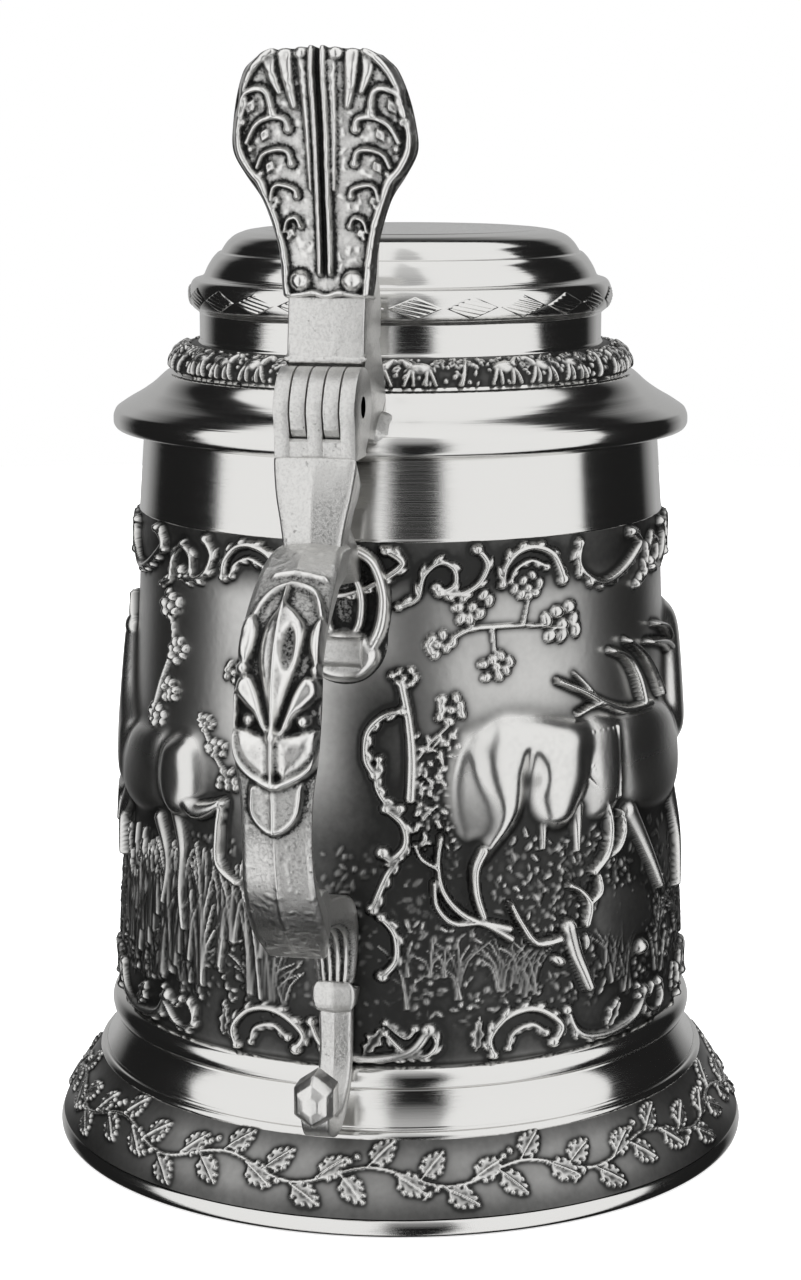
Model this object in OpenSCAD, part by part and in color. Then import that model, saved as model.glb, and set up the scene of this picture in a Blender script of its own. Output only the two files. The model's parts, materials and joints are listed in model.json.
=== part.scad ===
// Lidded drinking tankard: turned foot and barrel, cast scroll handle, hinged lid with a thumb lift.
// All sizes in millimetres. The body axis is Z, the table is z = 0, the handle points to +X
// and the lid turns about a pin that runs along Y.

/* [Body] */
// Outer radius of the plain band under the lid
lip_r = 42; // [41:0.25:43]
// Outer radius of the relief wall at its lower end
wall_foot_r = 46.9; // [45.5:0.1:48]
// Thickness of the cup wall without its relief layer
wall_t = 1.4; // [1:0.1:1.8]
// Thickness of the relief layer
relief_t = 0.9; // [0.6:0.1:1]
// Height of the open mouth above the table
mouth_z = 118.4; // [118:0.1:118.5]

/* [Foot] */
// Radius of the foot at the table
foot_r = 57.3; // [55:0.1:60]
// Height of the smooth rim at the foot's edge
foot_rim_h = 3; // [2:0.5:4]
// Depth of the recess under the base plate
base_recess = 2.6; // [2:0.1:3]

/* [Lid] */
// Outer radius of the lid's brim
brim_r = 46.9; // [46:0.1:48]
// Radius of the plain neck below the lozenge ring
neck_r = 32.7; // [32:0.1:33.4]
// Number of lozenges around the upper ring
lozenge_count = 24; // [12:1:30]
// Thickness of the lid's sheet
lid_t = 1.8; // [1.4:0.1:2.2]

/* [Hinge] */
// Distance of the hinge pin from the body axis
hinge_x = 57.4; // [57:0.1:58]
// Height of the hinge pin
hinge_z = 127; // [126.8:0.1:127.2]
// Outer radius of the hinge barrel
barrel_r = 5.8; // [5.4:0.1:5.9]
// Radius of the hinge pin
pin_r = 1.6; // [1.2:0.1:2]
// Gap between neighbouring knuckles
knuckle_gap = 0.32; // [0.3:0.02:0.4]

/* [Handle] */
// Width of the handle at its widest
strap_w = 11; // [9:0.5:13]
// Thickness of the handle at the grip
strap_t = 4.6; // [3.5:0.1:5.5]
// Height of the facet ridge along the handle
ridge_h = 1; // [0.6:0.1:1.6]

/* [Thumb lift] */
// Greatest width of the thumb lift
lift_w = 24.6; // [20:0.2:28]
// Height of the thumb lift's top edge
lift_top = 178.6; // [172:0.2:184]

/* [Hidden] */
$fn = 96;

pewter = [0.66, 0.66, 0.65];
dark_pewter = [0.36, 0.36, 0.35];
bright_pewter = [0.78, 0.78, 0.77];

relief_low = 24;          // lower end of the relief wall
relief_high = 105.1;      // upper end of the relief wall
band_low_r = lip_r + 0.8; // the plain band is a little wider at its lower end
floor_z = 6;              // upper side of the cup's floor
steps = 14;               // rings in a curved turned outline
waist_low = 14.8;         // lower end of the waist cove
cove_r = 48;              // narrowest outer radius of the waist cove
skirt_t = 1.8;            // thickness of the flared foot
eps = 0.01;

knuckle_n = 5;
barrel_len = 12;
knuckle_w = (barrel_len - (knuckle_n - 1) * knuckle_gap) / knuckle_n;
pin_clear = 0.05;         // running clearance of the lid knuckles on the pin
swing_clear = 0.4;        // room between the barrel and the shapes that pass around it

function smooth(t) = t * t * (3 - 2 * t);
// outer radius of the body between the waist ring and the plain band
function wall_r(z) = wall_foot_r - (wall_foot_r - band_low_r) * smooth((z - relief_low) / (relief_high - relief_low));
function wall_zs() = [for (i = [0:steps]) relief_low + (relief_high - relief_low) * i / steps];
// outer radius of the flared foot above its rim
function foot_slope(z) = foot_r - 6.7 * pow((z - foot_rim_h) / 10.6, 1.12);

module turned(points) { rotate_extrude() polygon(points); }

// points of a curve through hand-set stations, n steps between neighbours
function blend(a, b, c, d, t) = 0.5 * (2 * b + (c - a) * t + (2 * a - 5 * b + 4 * c - d) * t * t
  + (3 * b - a - 3 * c + d) * t * t * t);
function curve(p, n) = [for (i = [0:len(p) - 2]) for (j = [0:n - 1])
  blend(p[max(i - 1, 0)], p[i], p[i + 1], p[min(i + 2, len(p) - 1)], j / n), p[len(p) - 1]];

// A bar swept in the handle's plane. Each station is [x, z, width, thickness]; the stations follow the
// outer face, which has a raised middle ridge, and the thickness lies behind it.
module swept_bar(stations, n, ridge, back = 0.8, y0 = 0) {
  p = curve(stations, n);
  last = len(p) - 1;
  m = 5;
  function tangent(i) = let (a = p[max(i - 1, 0)], b = p[min(i + 1, last)]) [b[0] - a[0], b[1] - a[1]];
  function section(i) = let (t = tangent(i), u = t / norm(t), nx = -u[1], nz = u[0], w = p[i][2] / 2, d = p[i][3],
      q = [[0, 0], [-ridge, w], [-d, w * back], [-d, -w * back], [-ridge, -w]])
    [for (c = q) [p[i][0] + nx * c[0], y0 + c[1], p[i][1] + nz * c[0]]];
  pts = [for (i = [0:last]) for (c = section(i)) c];
  sides = [for (i = [0:last - 1]) for (k = [0:m - 1])
    let (a = i * m + k, b = i * m + (k + 1) % m, c = a + m, d = b + m) each [[a, b, d], [a, d, c]]];
  caps = [[for (k = [m - 1:-1:0]) k], [for (k = [0:m - 1]) last * m + k]];
  polyhedron(points = pts, faces = concat(sides, caps), convexity = 6);
}

// a raised C-shaped scroll of round section lying in the YZ plane, facing +X
module c_scroll(r, t, start, sweep) {
  rotate([0, 90, 0]) rotate([0, 0, start]) rotate_extrude(angle = sweep) translate([r, 0]) circle(r = t, $fn = 24);
}

// a C-scroll standing on the body wall at angle a and height z
module wall_scroll(a, z, r, t, start, sweep) {
  rotate([0, 0, a]) translate([wall_r(z) + relief_t * 0.4, 0, z]) c_scroll(r, t, start, sweep);
}

// ---- body ----
module cup_wall() {
  zs = wall_zs();
  core = relief_t;
  color(pewter) turned(concat(
    [[0, floor_z - wall_t], [cove_r - 2, floor_z - wall_t], [cove_r - 2, waist_low], [cove_r - 1.2, waist_low],
     [cove_r - 1.2, relief_low - 0.4]],
    [for (z = zs) [wall_r(z) - core, z]],
    [[band_low_r - core, relief_high + eps], [lip_r - core, mouth_z - 1.2], [lip_r - core, mouth_z],
     [lip_r - core - wall_t + 0.3, mouth_z]],
    [[lip_r - core - wall_t, mouth_z - 0.6], [band_low_r - core - wall_t, relief_high]],
    [for (i = [steps - 1:-1:0]) [wall_r(zs[i]) - core - wall_t, zs[i]]],
    [[cove_r - 3.4, waist_low], [cove_r - 3.4, floor_z + 3], [cove_r - 6.4, floor_z], [0, floor_z]]));
}

module base_plate() {
  color(pewter) turned([[0, base_recess], [foot_r - 4.4, base_recess], [foot_r - 4.4, floor_z - wall_t - eps],
    [0, floor_z - wall_t - eps]]);
}

module foot_skirt() {
  zs = [for (i = [0:8]) foot_rim_h + (waist_low - 1.2 - foot_rim_h) * i / 8];
  color(pewter) turned(concat(
    [[foot_r - 4.3, 0], [foot_r, 0], [foot_r + 0.4, 0.5], [foot_r + 0.5, 1.4], [foot_r + 0.2, foot_rim_h - 0.5],
     [foot_r - 0.6, foot_rim_h]],
    [for (i = [1:8]) [foot_slope(zs[i]) - 0.5, zs[i]]],
    [[cove_r - 1.9, waist_low - 1.2], [cove_r - 1.9, floor_z + 0.4], [foot_r - 4.3, floor_z + 0.4]]));
}

module foot_frieze() {
  zs = [for (i = [0:8]) foot_rim_h + (waist_low - 1.2 - foot_rim_h) * i / 8];
  color(dark_pewter) turned(concat(
    [[foot_r - 0.6, foot_rim_h]],
    [for (i = [1:8]) [foot_slope(zs[i]), zs[i]]],
    [for (i = [8:-1:1]) [foot_slope(zs[i]) - 0.5, zs[i]]]));
}

module foot_bead() {
  color(bright_pewter) turned([[cove_r - 1.9, waist_low - 1.2], [foot_slope(waist_low - 1.2) - 0.2, waist_low - 1.2],
    [foot_slope(waist_low - 1.2) - 0.1, waist_low - 0.6], [foot_slope(waist_low) - 0.3, waist_low],
    [cove_r - 1.9, waist_low]]);
}

module waist_cove() {
  color(bright_pewter) turned(concat([[cove_r - 1.2, waist_low]],
    [for (i = [0:8]) let (t = i / 8) [cove_r + 1.9 * pow(1 - t, 2.2), waist_low + eps + (20.5 - waist_low) * t]],
    [[cove_r - 1.2, 20.5]]));
}

module waist_ring() {
  color(bright_pewter) turned([[cove_r - 1.2, 20.5 + eps], [cove_r + 0.3, 20.5 + eps], [cove_r + 0.6, 21.4],
    [cove_r + 0.6, 22.6], [cove_r + 0.1, 23.6], [wall_r(relief_low) + 0.1, relief_low - eps],
    [wall_r(relief_low) - relief_t, relief_low - eps], [cove_r - 1.2, relief_low - 0.4 - eps]]);
}

module relief_wall() {
  zs = wall_zs();
  color(dark_pewter) turned(concat([for (z = zs) [wall_r(z), z]],
    [for (i = [steps:-1:0]) [wall_r(zs[i]) - relief_t, zs[i]]]));
}

// alternating C-scrolls hang below the plain band; the handle's side stays free for the bracket
scroll_n = 16;
module scroll_border_upper() {
  color(bright_pewter) for (i = [1:scroll_n - 1]) {
    wall_scroll(i * 360 / scroll_n, relief_high - 5, 4, 0.7, 100, 250);
    wall_scroll((i + 0.5) * 360 / scroll_n, relief_high - 6.5, 2.6, 0.6, -80, 220);
  }
}

module scroll_border_lower() {
  color(bright_pewter) for (i = [1:scroll_n - 1]) {
    wall_scroll(i * 360 / scroll_n, relief_low + 6, 4, 0.7, -80, 250);
    wall_scroll((i + 0.5) * 360 / scroll_n, relief_low + 5, 2.6, 0.6, 100, 220);
  }
}

// an upright row of C-scrolls beside the handle parts the two relief scenes
module scroll_divider() {
  color(bright_pewter) for (i = [0:4])
    wall_scroll(14 + 3 * pow(-1, i), 44 + 9.5 * i, 4.4, 0.7, i % 2 == 0 ? 20 : 200, 200);
}

module lip_band() {
  color(bright_pewter) turned([[band_low_r - relief_t, relief_high + eps], [band_low_r, relief_high + eps],
    [lip_r, mouth_z - 1.2], [lip_r - 0.3, mouth_z - 0.3], [lip_r - relief_t, mouth_z - 0.3]]);
}

// ---- hinge on the handle side ----
module knuckle(i, r) {
  translate([hinge_x, -barrel_len / 2 + i * (knuckle_w + knuckle_gap), hinge_z])
    rotate([-90, 0, 0]) cylinder(r = r, h = knuckle_w);
}

module handle_knuckles() {
  color(pewter) for (i = [0:2:knuckle_n - 1])
    difference() {
      union() {
        knuckle(i, barrel_r);
        translate([hinge_x, -barrel_len / 2 + i * (knuckle_w + knuckle_gap), hinge_z - barrel_r - swing_clear - 1])
          cube([barrel_r, knuckle_w, barrel_r + swing_clear + 1]);
      }
      translate([hinge_x, -barrel_len, hinge_z]) rotate([-90, 0, 0]) cylinder(r = pin_r, h = 2 * barrel_len);
    }
}

module hinge_pin() {
  color(bright_pewter) translate([hinge_x, -barrel_len / 2, hinge_z]) rotate([-90, 0, 0])
    cylinder(r = pin_r, h = barrel_len);
}

module handle_shank() {
  top = hinge_z - barrel_r - swing_clear;
  color(pewter) swept_bar([[64.4, top, barrel_len, 8.6], [65.4, top - 3, barrel_len - 0.4, 8.6],
    [66, 113, 9.6, 8.2], [66.2, 106.8, 8.4, 7.6]], 3, ridge_h * 0.7, 0.9);
}

// ---- handle casting ----
handle_line = [[58.6, 108.4, 8.2, 5.6], [66.2, 108.8, 8.6, 7], [70.5, 107.7, 9.6, 7], [76, 105, 10.6, 6.4], [82.4, 101.4, strap_w - 0.2, 5.6],
  [88, 95, strap_w, strap_t + 0.4], [90.2, 86, strap_w, strap_t], [90.4, 76, strap_w - 1, strap_t],
  [88.8, 65, strap_w - 0.6, strap_t], [85, 58, strap_w - 0.4, strap_t + 0.6], [79, 51.6, strap_w, strap_t + 1],
  [73.4, 48.2, strap_w - 1, strap_t]];

module handle_strap() { color(pewter) swept_bar(handle_line, 4, ridge_h); }

// slender raised pieces that lie on the outer face of the handle
module handle_leaf() {
  color(pewter) swept_bar([[77.4, 105.6, 3, 2], [82.8, 102.4, 5.4, 2.4], [88.6, 96, 6.4, 2.6], [90.6, 91, 5, 2.4],
    [91.2, 87, 2, 2]], 4, 0.9);
}

module handle_brows() {
  color(pewter) for (s = [-1, 1])
    swept_bar([[88.6, 96, 1.6, 2.4], [90.6, 92.4, 2.6, 2.8], [91.4, 89.6, 2.8, 3], [91.6, 86.4, 1.4, 2]], 3, 0.5, 0.8,
      s * 4.2);
}

module handle_eyes() {
  color(bright_pewter) for (s = [-1, 1]) translate([89.6, s * 4.1, 88.6]) sphere(r = 1.5, $fn = 32);
}

module handle_chin_leaf() {
  color(pewter) swept_bar([[91, 86.6, 5, 2], [92.3, 83.6, 9.6, 3], [92, 80.4, 8, 3], [91, 77.4, 3, 2]], 4, 1.1);
}

module handle_tongue_leaf() {
  color(pewter) swept_bar([[90.8, 79.4, 4.6, 1.6], [91.2, 75.6, 6.8, 2], [90.9, 72.6, 5.6, 2], [90.2, 70.4, 1.6, 1.4]], 4, 0.6);
}

// the curl behind the handle's lower end
module handle_end_scroll() {
  color(pewter) difference() {
    translate([75.4, -4.2, 55.2]) rotate([-90, 0, 0]) cylinder(r = 4.6, h = 8.4);
    translate([75.4, -4.7, 57.6]) rotate([-90, 0, 0]) cylinder(r = 1.7, h = 9.4);
  }
}

// ---- upper bracket between the handle and the wall ----
module bracket_plate() {
  color(pewter) intersection() {
    translate([wall_r(95) - 2, 0, 0]) rotate([0, 90, 0]) linear_extrude(6)
      union() {
        translate([-98, 0]) circle(r = 7.4);
        translate([-98, -7.4]) square([8, 14.8]);
        translate([-90, 0]) circle(r = 7.4);
      }
    rotate_extrude() polygon([[wall_r(104) - 0.2, 80], [wall_r(84) + 2, 80], [wall_r(104) + 2.2, relief_high - 0.3],
      [wall_r(104) - 0.2, relief_high - 0.3]]);
  }
}

module bracket_arm() {
  color(pewter) swept_bar([[61, 108, 7, 5.4], [56, 107, 6.6, 5.6], [50.6, 103.6, 7, 6], [45.2, 99.8, 8, 6]], 3, 0.8, 0.9);
}

module bracket_scroll() {
  color(pewter) translate([wall_r(88) + 3.2, -4.6, 87.6]) rotate([-90, 0, 0]) cylinder(r = 3.2, h = 9.2);
}

// ---- lower strut along the wall, with its outward-curling tail ----
module strut_leaf() {
  color(pewter) swept_bar([[76, 52.6, 7, 4.6], [68, 51, 6.4, 4.4], [60, 49.4, 6.6, 4.8], [53.4, 46.6, 6.4, 5],
    [50.6, 42, 5.6, 4], [50.4, 37.6, 4.4, 3.4]], 4, 0.7);
}

module strut_collar() {
  color(bright_pewter) swept_bar([[51.2, 37.8, 4.8, 4.6], [51.6, 36.4, 5.8, 5], [51.4, 34.4, 5.8, 5], [51, 33.2, 4.8, 4.6]], 2, 0.5);
}

module strut_bar() {
  color(pewter) swept_bar([[50.6, 33.4, 4.2, 3.4], [50.8, 29, 4.1, 3.4], [51.4, 25, 4.1, 3]], 3, 0.6);
}

module tail_scroll() {
  color(pewter) swept_bar([[51.4, 25, 4.1, 3], [53.6, 21.4, 4.2, 3], [58, 19, 4.4, 3], [62.6, 20, 4.6, 3.2],
    [65, 22.6, 4.8, 3.4]], 4, -0.6, 0.8);
}

// a faceted six-sided knob on the tail's end
module tail_boss() {
  color(bright_pewter) translate([61.6, 0, 24.6]) rotate([0, 90, 0]) rotate([0, 0, 90]) scale([1, 1.36, 1])
    rotate_extrude($fn = 6) polygon([[0, 0], [2.6, 0], [3.4, 1.4], [3.4, 3.8], [2.2, 5.6], [0, 6.4]]);
}

// ---- lid ----
brim_low = 118.3;
slope_top = [37.7, 126.5];
seat_gap = 0.3;           // the closed lid clears the mouth by this much
function cap_r(z) = 32.4 - 10.4 * pow((z - 144) / 8.1, 1.9);

module lid_shell() {
  zs = [for (i = [0:8]) 144 + 8.1 * i / 8];
  color(pewter) turned(concat(
    [[brim_r - 1.6, brim_low], [brim_r - 0.3, brim_low], [brim_r, brim_low + 0.8], [brim_r, brim_low + 1.8],
     [brim_r - 0.5, brim_low + 2.9], [brim_r - 2.2, 123], [41.4, 125], slope_top,
     [neck_r + 3.4, 127.4], [neck_r + 1.6, 131], [neck_r, 132.8], [neck_r, 144]],
    [for (z = zs) [cap_r(z), z]],
    [[0, zs[8]], [0, zs[8] - lid_t]],
    [for (i = [8:-1:0]) [min(cap_r(zs[i]), neck_r) - lid_t - 0.4 * i / 8, zs[i] - lid_t]],
    [[neck_r - lid_t, 132.4], [neck_r - lid_t + 1.4, 130], [slope_top[0] - 1.6, 125.4], [39.4, 123.4], [40.2, mouth_z + seat_gap + 1],
     [40.2, mouth_z + seat_gap], [lip_r + 0.4, mouth_z + seat_gap], [lip_r + 1, brim_low]]));
}

module lid_frieze_ring() {
  color(dark_pewter) turned([slope_top, [slope_top[0] + 0.2, 127.4], [slope_top[0] - 0.3, 129.2], [36.2, 131],
    [34.4, 132.2], [neck_r, 132.8], [neck_r + 1.6, 131], [neck_r + 3.4, 127.4]]);
}

module lid_lozenge_ring() {
  color(bright_pewter) turned([[neck_r, 137.6], [33.2, 137.8], [34.1, 139.2], [34.4, 141], [34.1, 142.4], [33.3, 143.5],
    [neck_r, 143.7]]);
  color(bright_pewter) for (i = [0:lozenge_count - 1]) rotate([0, 0, (i + 0.5) * 360 / lozenge_count])
    translate([33.9, 0, 140.8]) scale([1, 1.15, 0.62]) rotate([0, 90, 0]) cylinder(r = 3.2, h = 0.9, $fn = 4);
}

module lid_locating_ring() {
  color(pewter) turned([[37.4, 115.6], [38.6, 115.6], [38.8, 116.2], [38.8, 121.2], [40.1, 122.6], [39.3, 123.2], [37.4, 121.6]]);
}

lug_w = 11;
module swing_cut(r) {
  translate([hinge_x, -barrel_len, hinge_z]) rotate([-90, 0, 0]) cylinder(r = r, h = 2 * barrel_len);
}

module lid_tang() {
  color(pewter) difference() {
    translate([0, lug_w / 2, 0]) rotate([90, 0, 0]) linear_extrude(lug_w)
      polygon([[brim_r + 4.6, 133.6], [44, 136], [40.6, 132], [38, 127.4], [41.4, 125], [44.7, 123], [brim_r + 0.4, 121],
        [brim_r + 4.6, 122]]);
    swing_cut(barrel_r + swing_clear);
  }
}

// the spread of solder where the tang meets the brim
module solder_fillet() {
  color(pewter) for (s = [-1, 1]) translate([0, s * (lug_w / 2 + eps), 0]) rotate([90, 0, 0])
    mirror([0, 0, s > 0 ? 1 : 0]) linear_extrude(2.2, scale = 0.96)
      polygon([[brim_r + 1.2, 124.6], [43, 127], [41.4, 125.2], [44.7, 123.1], [brim_r - 0.3, 121.3], [brim_r + 0.8, 120.6]]);
}

module lid_knuckles() {
  color(pewter) for (i = [1:2:knuckle_n - 2])
    difference() {
      union() {
        knuckle(i, barrel_r);
        translate([brim_r + 2.6, -barrel_len / 2 + i * (knuckle_w + knuckle_gap), hinge_z - 4.4])
          cube([hinge_x - brim_r - 2.6, knuckle_w, 4.4 + barrel_r]);
      }
      swing_cut(pin_r + pin_clear);
    }
}

module lug_block() {
  color(pewter) difference() {
    translate([0, lug_w / 2, 0]) rotate([90, 0, 0]) linear_extrude(lug_w)
      polygon([[55.8, 132.2], [54.2, 142.4], [51.4, 144.2], [44.6, 144], [42.6, 140], [44, 136], [51, 133.4]]);
    swing_cut(barrel_r + swing_clear);
  }
}

// ---- thumb lift ----
lift_line = [[58.8, lift_top, lift_w * 0.5, 2.6], [58.4, lift_top - 2.4, lift_w * 0.86, 3.4],
  [57, lift_top - 7, lift_w, 4], [56.4, lift_top - 12, lift_w, 5], [55.4, lift_top - 17, lift_w * 0.8, 6],
  [53, lift_top - 22.6, lift_w * 0.6, 7], [51.4, lift_top - 28, lift_w * 0.52, 8], [51.2, lift_top - 34.4, lift_w * 0.48, 8]];

module thumb_plate() { color(pewter) swept_bar(lift_line, 4, 0.8, 0.84); }

module thumb_rib() {
  color(bright_pewter) for (s = [-1, 1]) translate([0.7, s * 1.1, 0])
    swept_bar([for (p = lift_line) [p[0] + 0.5, p[1] - 0.2, 1.3, 2.2]], 4, 0.3);
}

// scroll rows shrink from the top of the lift to its waist
module thumb_volutes() {
  color(bright_pewter) for (s = [-1, 1]) for (i = [0:4]) let (z = lift_top - 8 - 5.6 * i, k = 1 - 0.13 * i)
    translate([57.2 - 0.05 * i - (i > 1 ? 1.5 * (i - 1.4) : 0), s * 6.6 * k, z])
      rotate([0, 0, 0]) scale([1, s, 1]) c_scroll(2.9 * k, 0.55, 150, 200);
}

module thumb_beads() {
  color(bright_pewter) for (s = [-1, 1]) for (i = [0:4]) let (z = lift_top - 9.6 - 5.6 * i, k = 1 - 0.13 * i)
    translate([57.1 - 0.05 * i - (i > 1 ? 1.5 * (i - 1.4) : 0), s * 4.6 * k, z]) sphere(r = 1 * k, $fn = 24);
}

module thumb_bosses() {
  color(bright_pewter) for (s = [-1, 1]) translate([51.4, s * 3.6, 146.4]) sphere(r = 1.7, $fn = 32);
}

cup_wall();
base_plate();
foot_skirt();
foot_frieze();
foot_bead();
waist_cove();
waist_ring();
relief_wall();
scroll_border_upper();
scroll_border_lower();
scroll_divider();
lip_band();
handle_knuckles();
hinge_pin();
handle_shank();
handle_strap();
handle_leaf();
handle_brows();
handle_eyes();
handle_chin_leaf();
handle_tongue_leaf();
handle_end_scroll();
bracket_plate();
bracket_arm();
bracket_scroll();
strut_leaf();
strut_collar();
strut_bar();
tail_scroll();
tail_boss();
lid_shell();
lid_frieze_ring();
lid_lozenge_ring();
lid_locating_ring();
lid_tang();
solder_fillet();
lid_knuckles();
lug_block();
thumb_plate();
thumb_rib();
thumb_volutes();
thumb_beads();
thumb_bosses();
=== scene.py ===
import json
import math

import bmesh
import bpy
import numpy as np
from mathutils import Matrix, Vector


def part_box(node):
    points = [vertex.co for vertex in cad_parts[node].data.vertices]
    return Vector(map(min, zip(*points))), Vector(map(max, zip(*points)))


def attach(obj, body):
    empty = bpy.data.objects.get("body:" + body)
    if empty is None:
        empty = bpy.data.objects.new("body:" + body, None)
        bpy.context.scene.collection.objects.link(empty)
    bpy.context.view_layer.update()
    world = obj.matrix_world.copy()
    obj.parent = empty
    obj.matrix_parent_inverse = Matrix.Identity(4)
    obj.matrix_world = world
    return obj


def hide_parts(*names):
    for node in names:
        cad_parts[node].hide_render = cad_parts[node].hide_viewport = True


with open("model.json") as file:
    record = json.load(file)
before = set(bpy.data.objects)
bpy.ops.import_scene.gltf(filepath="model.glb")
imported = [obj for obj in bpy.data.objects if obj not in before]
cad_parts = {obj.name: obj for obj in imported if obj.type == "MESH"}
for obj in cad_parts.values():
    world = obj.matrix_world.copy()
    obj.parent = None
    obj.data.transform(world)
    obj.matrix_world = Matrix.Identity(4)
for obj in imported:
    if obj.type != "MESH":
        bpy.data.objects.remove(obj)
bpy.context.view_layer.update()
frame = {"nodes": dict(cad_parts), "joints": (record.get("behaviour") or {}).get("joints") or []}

bl_info = {
    "name": "Pewter tankard",
    "version": (1, 0, 0),
    "blender": (4, 5, 0),
    "location": "View3D > Sidebar > Tankard",
    "description": "Makes the turned, cast and relief-worked pieces of a lidded pewter tankard",
    "category": "Object",
}

MM = 0.001
HINGE = Vector(frame["joints"][0]["pos_m"]) / MM
RELIEF_LOW, RELIEF_HIGH = (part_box("relief_wall")[k].z / MM for k in (0, 1))
FOOT_R = (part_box("foot_skirt")[1].x / MM) - 0.5
BRIM_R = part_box("lid_shell")[1].x / MM
WALL_FOOT_R = 46.9
BAND_LOW_R = 42.8
WALL_MEAN_R = 45.0
WAIST_LOW = 14.8
FRIEZE_R = 54.0
LID_FRIEZE_R = 36.0
NECK_R = 32.7
PLAIN_TONE = 0.88
CAMERA_AZIMUTH = math.radians(11.3)
CAMERA_PITCH = math.radians(10.57)
CAMERA_DISTANCE = 0.4752
CAMERA_HEIGHT = 0.1708
CAMERA_LENS = 81.6


# ---------------------------------------------------------------- settings


class TankardSettings(bpy.types.PropertyGroup):
    """Sizes and colours that a maker would change"""

    relief_depth: bpy.props.FloatProperty(
        name="Relief depth", description="Scales how far the hunting scenes stand out",
        default=1.0, min=0.3, max=1.3,
    )
    wall_cell: bpy.props.FloatProperty(
        name="Wall cell", description="Spacing of the wall's surface points",
        default=0.26 * MM, min=0.15 * MM, max=1.0 * MM, subtype="DISTANCE", unit="LENGTH",
    )
    turned_segments: bpy.props.IntProperty(
        name="Turned segments", description="Points around each turned piece", default=288, min=96, max=512,
    )
    lozenges: bpy.props.IntProperty(
        name="Lozenges", description="Lozenges around the lid's upper ring", default=24, min=12, max=30,
    )
    bright: bpy.props.FloatVectorProperty(
        name="Rubbed metal", description="Colour of the polished pewter",
        default=(0.74, 0.735, 0.72), subtype="COLOR", min=0, max=1,
    )
    patina: bpy.props.FloatVectorProperty(
        name="Patina", description="Colour of the blackened hollows",
        default=(0.045, 0.045, 0.044), subtype="COLOR", min=0, max=1,
    )
    seed: bpy.props.IntProperty(name="Seed", description="Fixes the scattered grass and leaves", default=7)


# ---------------------------------------------------------------- shapes


def spline(points, steps):
    """A smooth curve through given points, with any number of values each."""
    p = np.asarray(points, float)
    p = np.vstack([p[0], p, p[-1]])
    out = []
    for i in range(1, len(p) - 2):
        a, b, c, d = p[i - 1], p[i], p[i + 1], p[i + 2]
        for t in np.arange(steps) / steps:
            out.append(0.5 * (2 * b + (c - a) * t + (2 * a - 5 * b + 4 * c - d) * t * t
                              + (3 * b - a - 3 * c + d) * t ** 3))
    out.append(p[-2])
    return np.array(out)


def eased(points, radius=0.3, steps=4):
    """An outline with its corners rounded; a corner's own radius may be its third value."""
    out = []
    n = len(points)
    for i, q in enumerate(points):
        b = np.array(q[:2], float)
        r = q[2] if len(q) > 2 else radius
        if r <= 0 or i in (0, n - 1):
            out.append(b)
            continue
        a, c = np.array(points[i - 1][:2], float), np.array(points[i + 1][:2], float)
        da, dc = np.linalg.norm(a - b), np.linalg.norm(c - b)
        cut = min(r, da * 0.45, dc * 0.45)
        s, e = b + (a - b) / max(da, 1e-9) * cut, b + (c - b) / max(dc, 1e-9) * cut
        for t in np.linspace(0, 1, steps):
            out.append((1 - t) ** 2 * s + 2 * t * (1 - t) * b + t * t * e)
    return np.array(out)


def smooth_step(t):
    """0 to 1 with level ends, as t goes from 0 to 1."""
    t = np.clip(t, 0, 1)
    return t * t * (3 - 2 * t)


def wall_radius(z):
    """Outer radius of the relief wall without its relief."""
    rise = smooth_step((z - RELIEF_LOW) / (RELIEF_HIGH - RELIEF_LOW))
    return WALL_FOOT_R - (WALL_FOOT_R - BAND_LOW_R) * rise


def path_length(points):
    """Length along a path at each of its points."""
    return np.concatenate([[0], np.cumsum(np.linalg.norm(np.diff(points, axis=0), axis=1))])


def grid_quads(shape, keep=None):
    """Quads over a grid of points; keep says which points may start a quad."""
    rows, columns = shape
    a = (np.arange(rows - 1)[:, None] * columns + np.arange(columns - 1)).ravel()
    if keep is not None:
        a = a[keep.reshape(-1)[a]]
    return np.stack([a, a + 1, a + columns + 1, a + columns], 1)


def drop_loose(obj):
    """Deletes the points that no face uses."""
    bm = bmesh.new()
    bm.from_mesh(obj.data)
    bmesh.ops.delete(bm, geom=[x for x in bm.verts if not x.link_faces], context="VERTS")
    bm.to_mesh(obj.data)
    bm.free()


def foot_radius(z):
    """Outer radius of the flared foot above its rim."""
    return FOOT_R - 6.7 * np.clip((z - 3) / 10.6, 0, 2) ** 1.12


def make_mesh(name, points, faces, tone):
    """A smooth mesh from points in millimetres, rows of corners, and how rubbed each point is."""
    points = np.asarray(points, np.float32) * MM
    mesh = bpy.data.meshes.new(name)
    corners = np.concatenate([np.asarray(f, np.int32).ravel() for f in faces])
    sizes = np.concatenate([np.full(len(f), np.asarray(f).shape[1], np.int32) for f in faces])
    starts = np.concatenate([[0], np.cumsum(sizes)[:-1]]).astype(np.int32)
    mesh.vertices.add(len(points))
    mesh.vertices.foreach_set("co", points.ravel())
    mesh.loops.add(len(corners))
    mesh.loops.foreach_set("vertex_index", corners)
    mesh.polygons.add(len(sizes))
    mesh.polygons.foreach_set("loop_start", starts)
    mesh.update(calc_edges=True)
    mesh.validate()
    mesh.shade_smooth()
    attribute = mesh.attributes.new("tone", "FLOAT", "POINT")
    attribute.data.foreach_set("value", np.asarray(tone, np.float32).ravel())
    obj = bpy.data.objects.new(name, mesh)
    bpy.context.scene.collection.objects.link(obj)
    return obj


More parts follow.
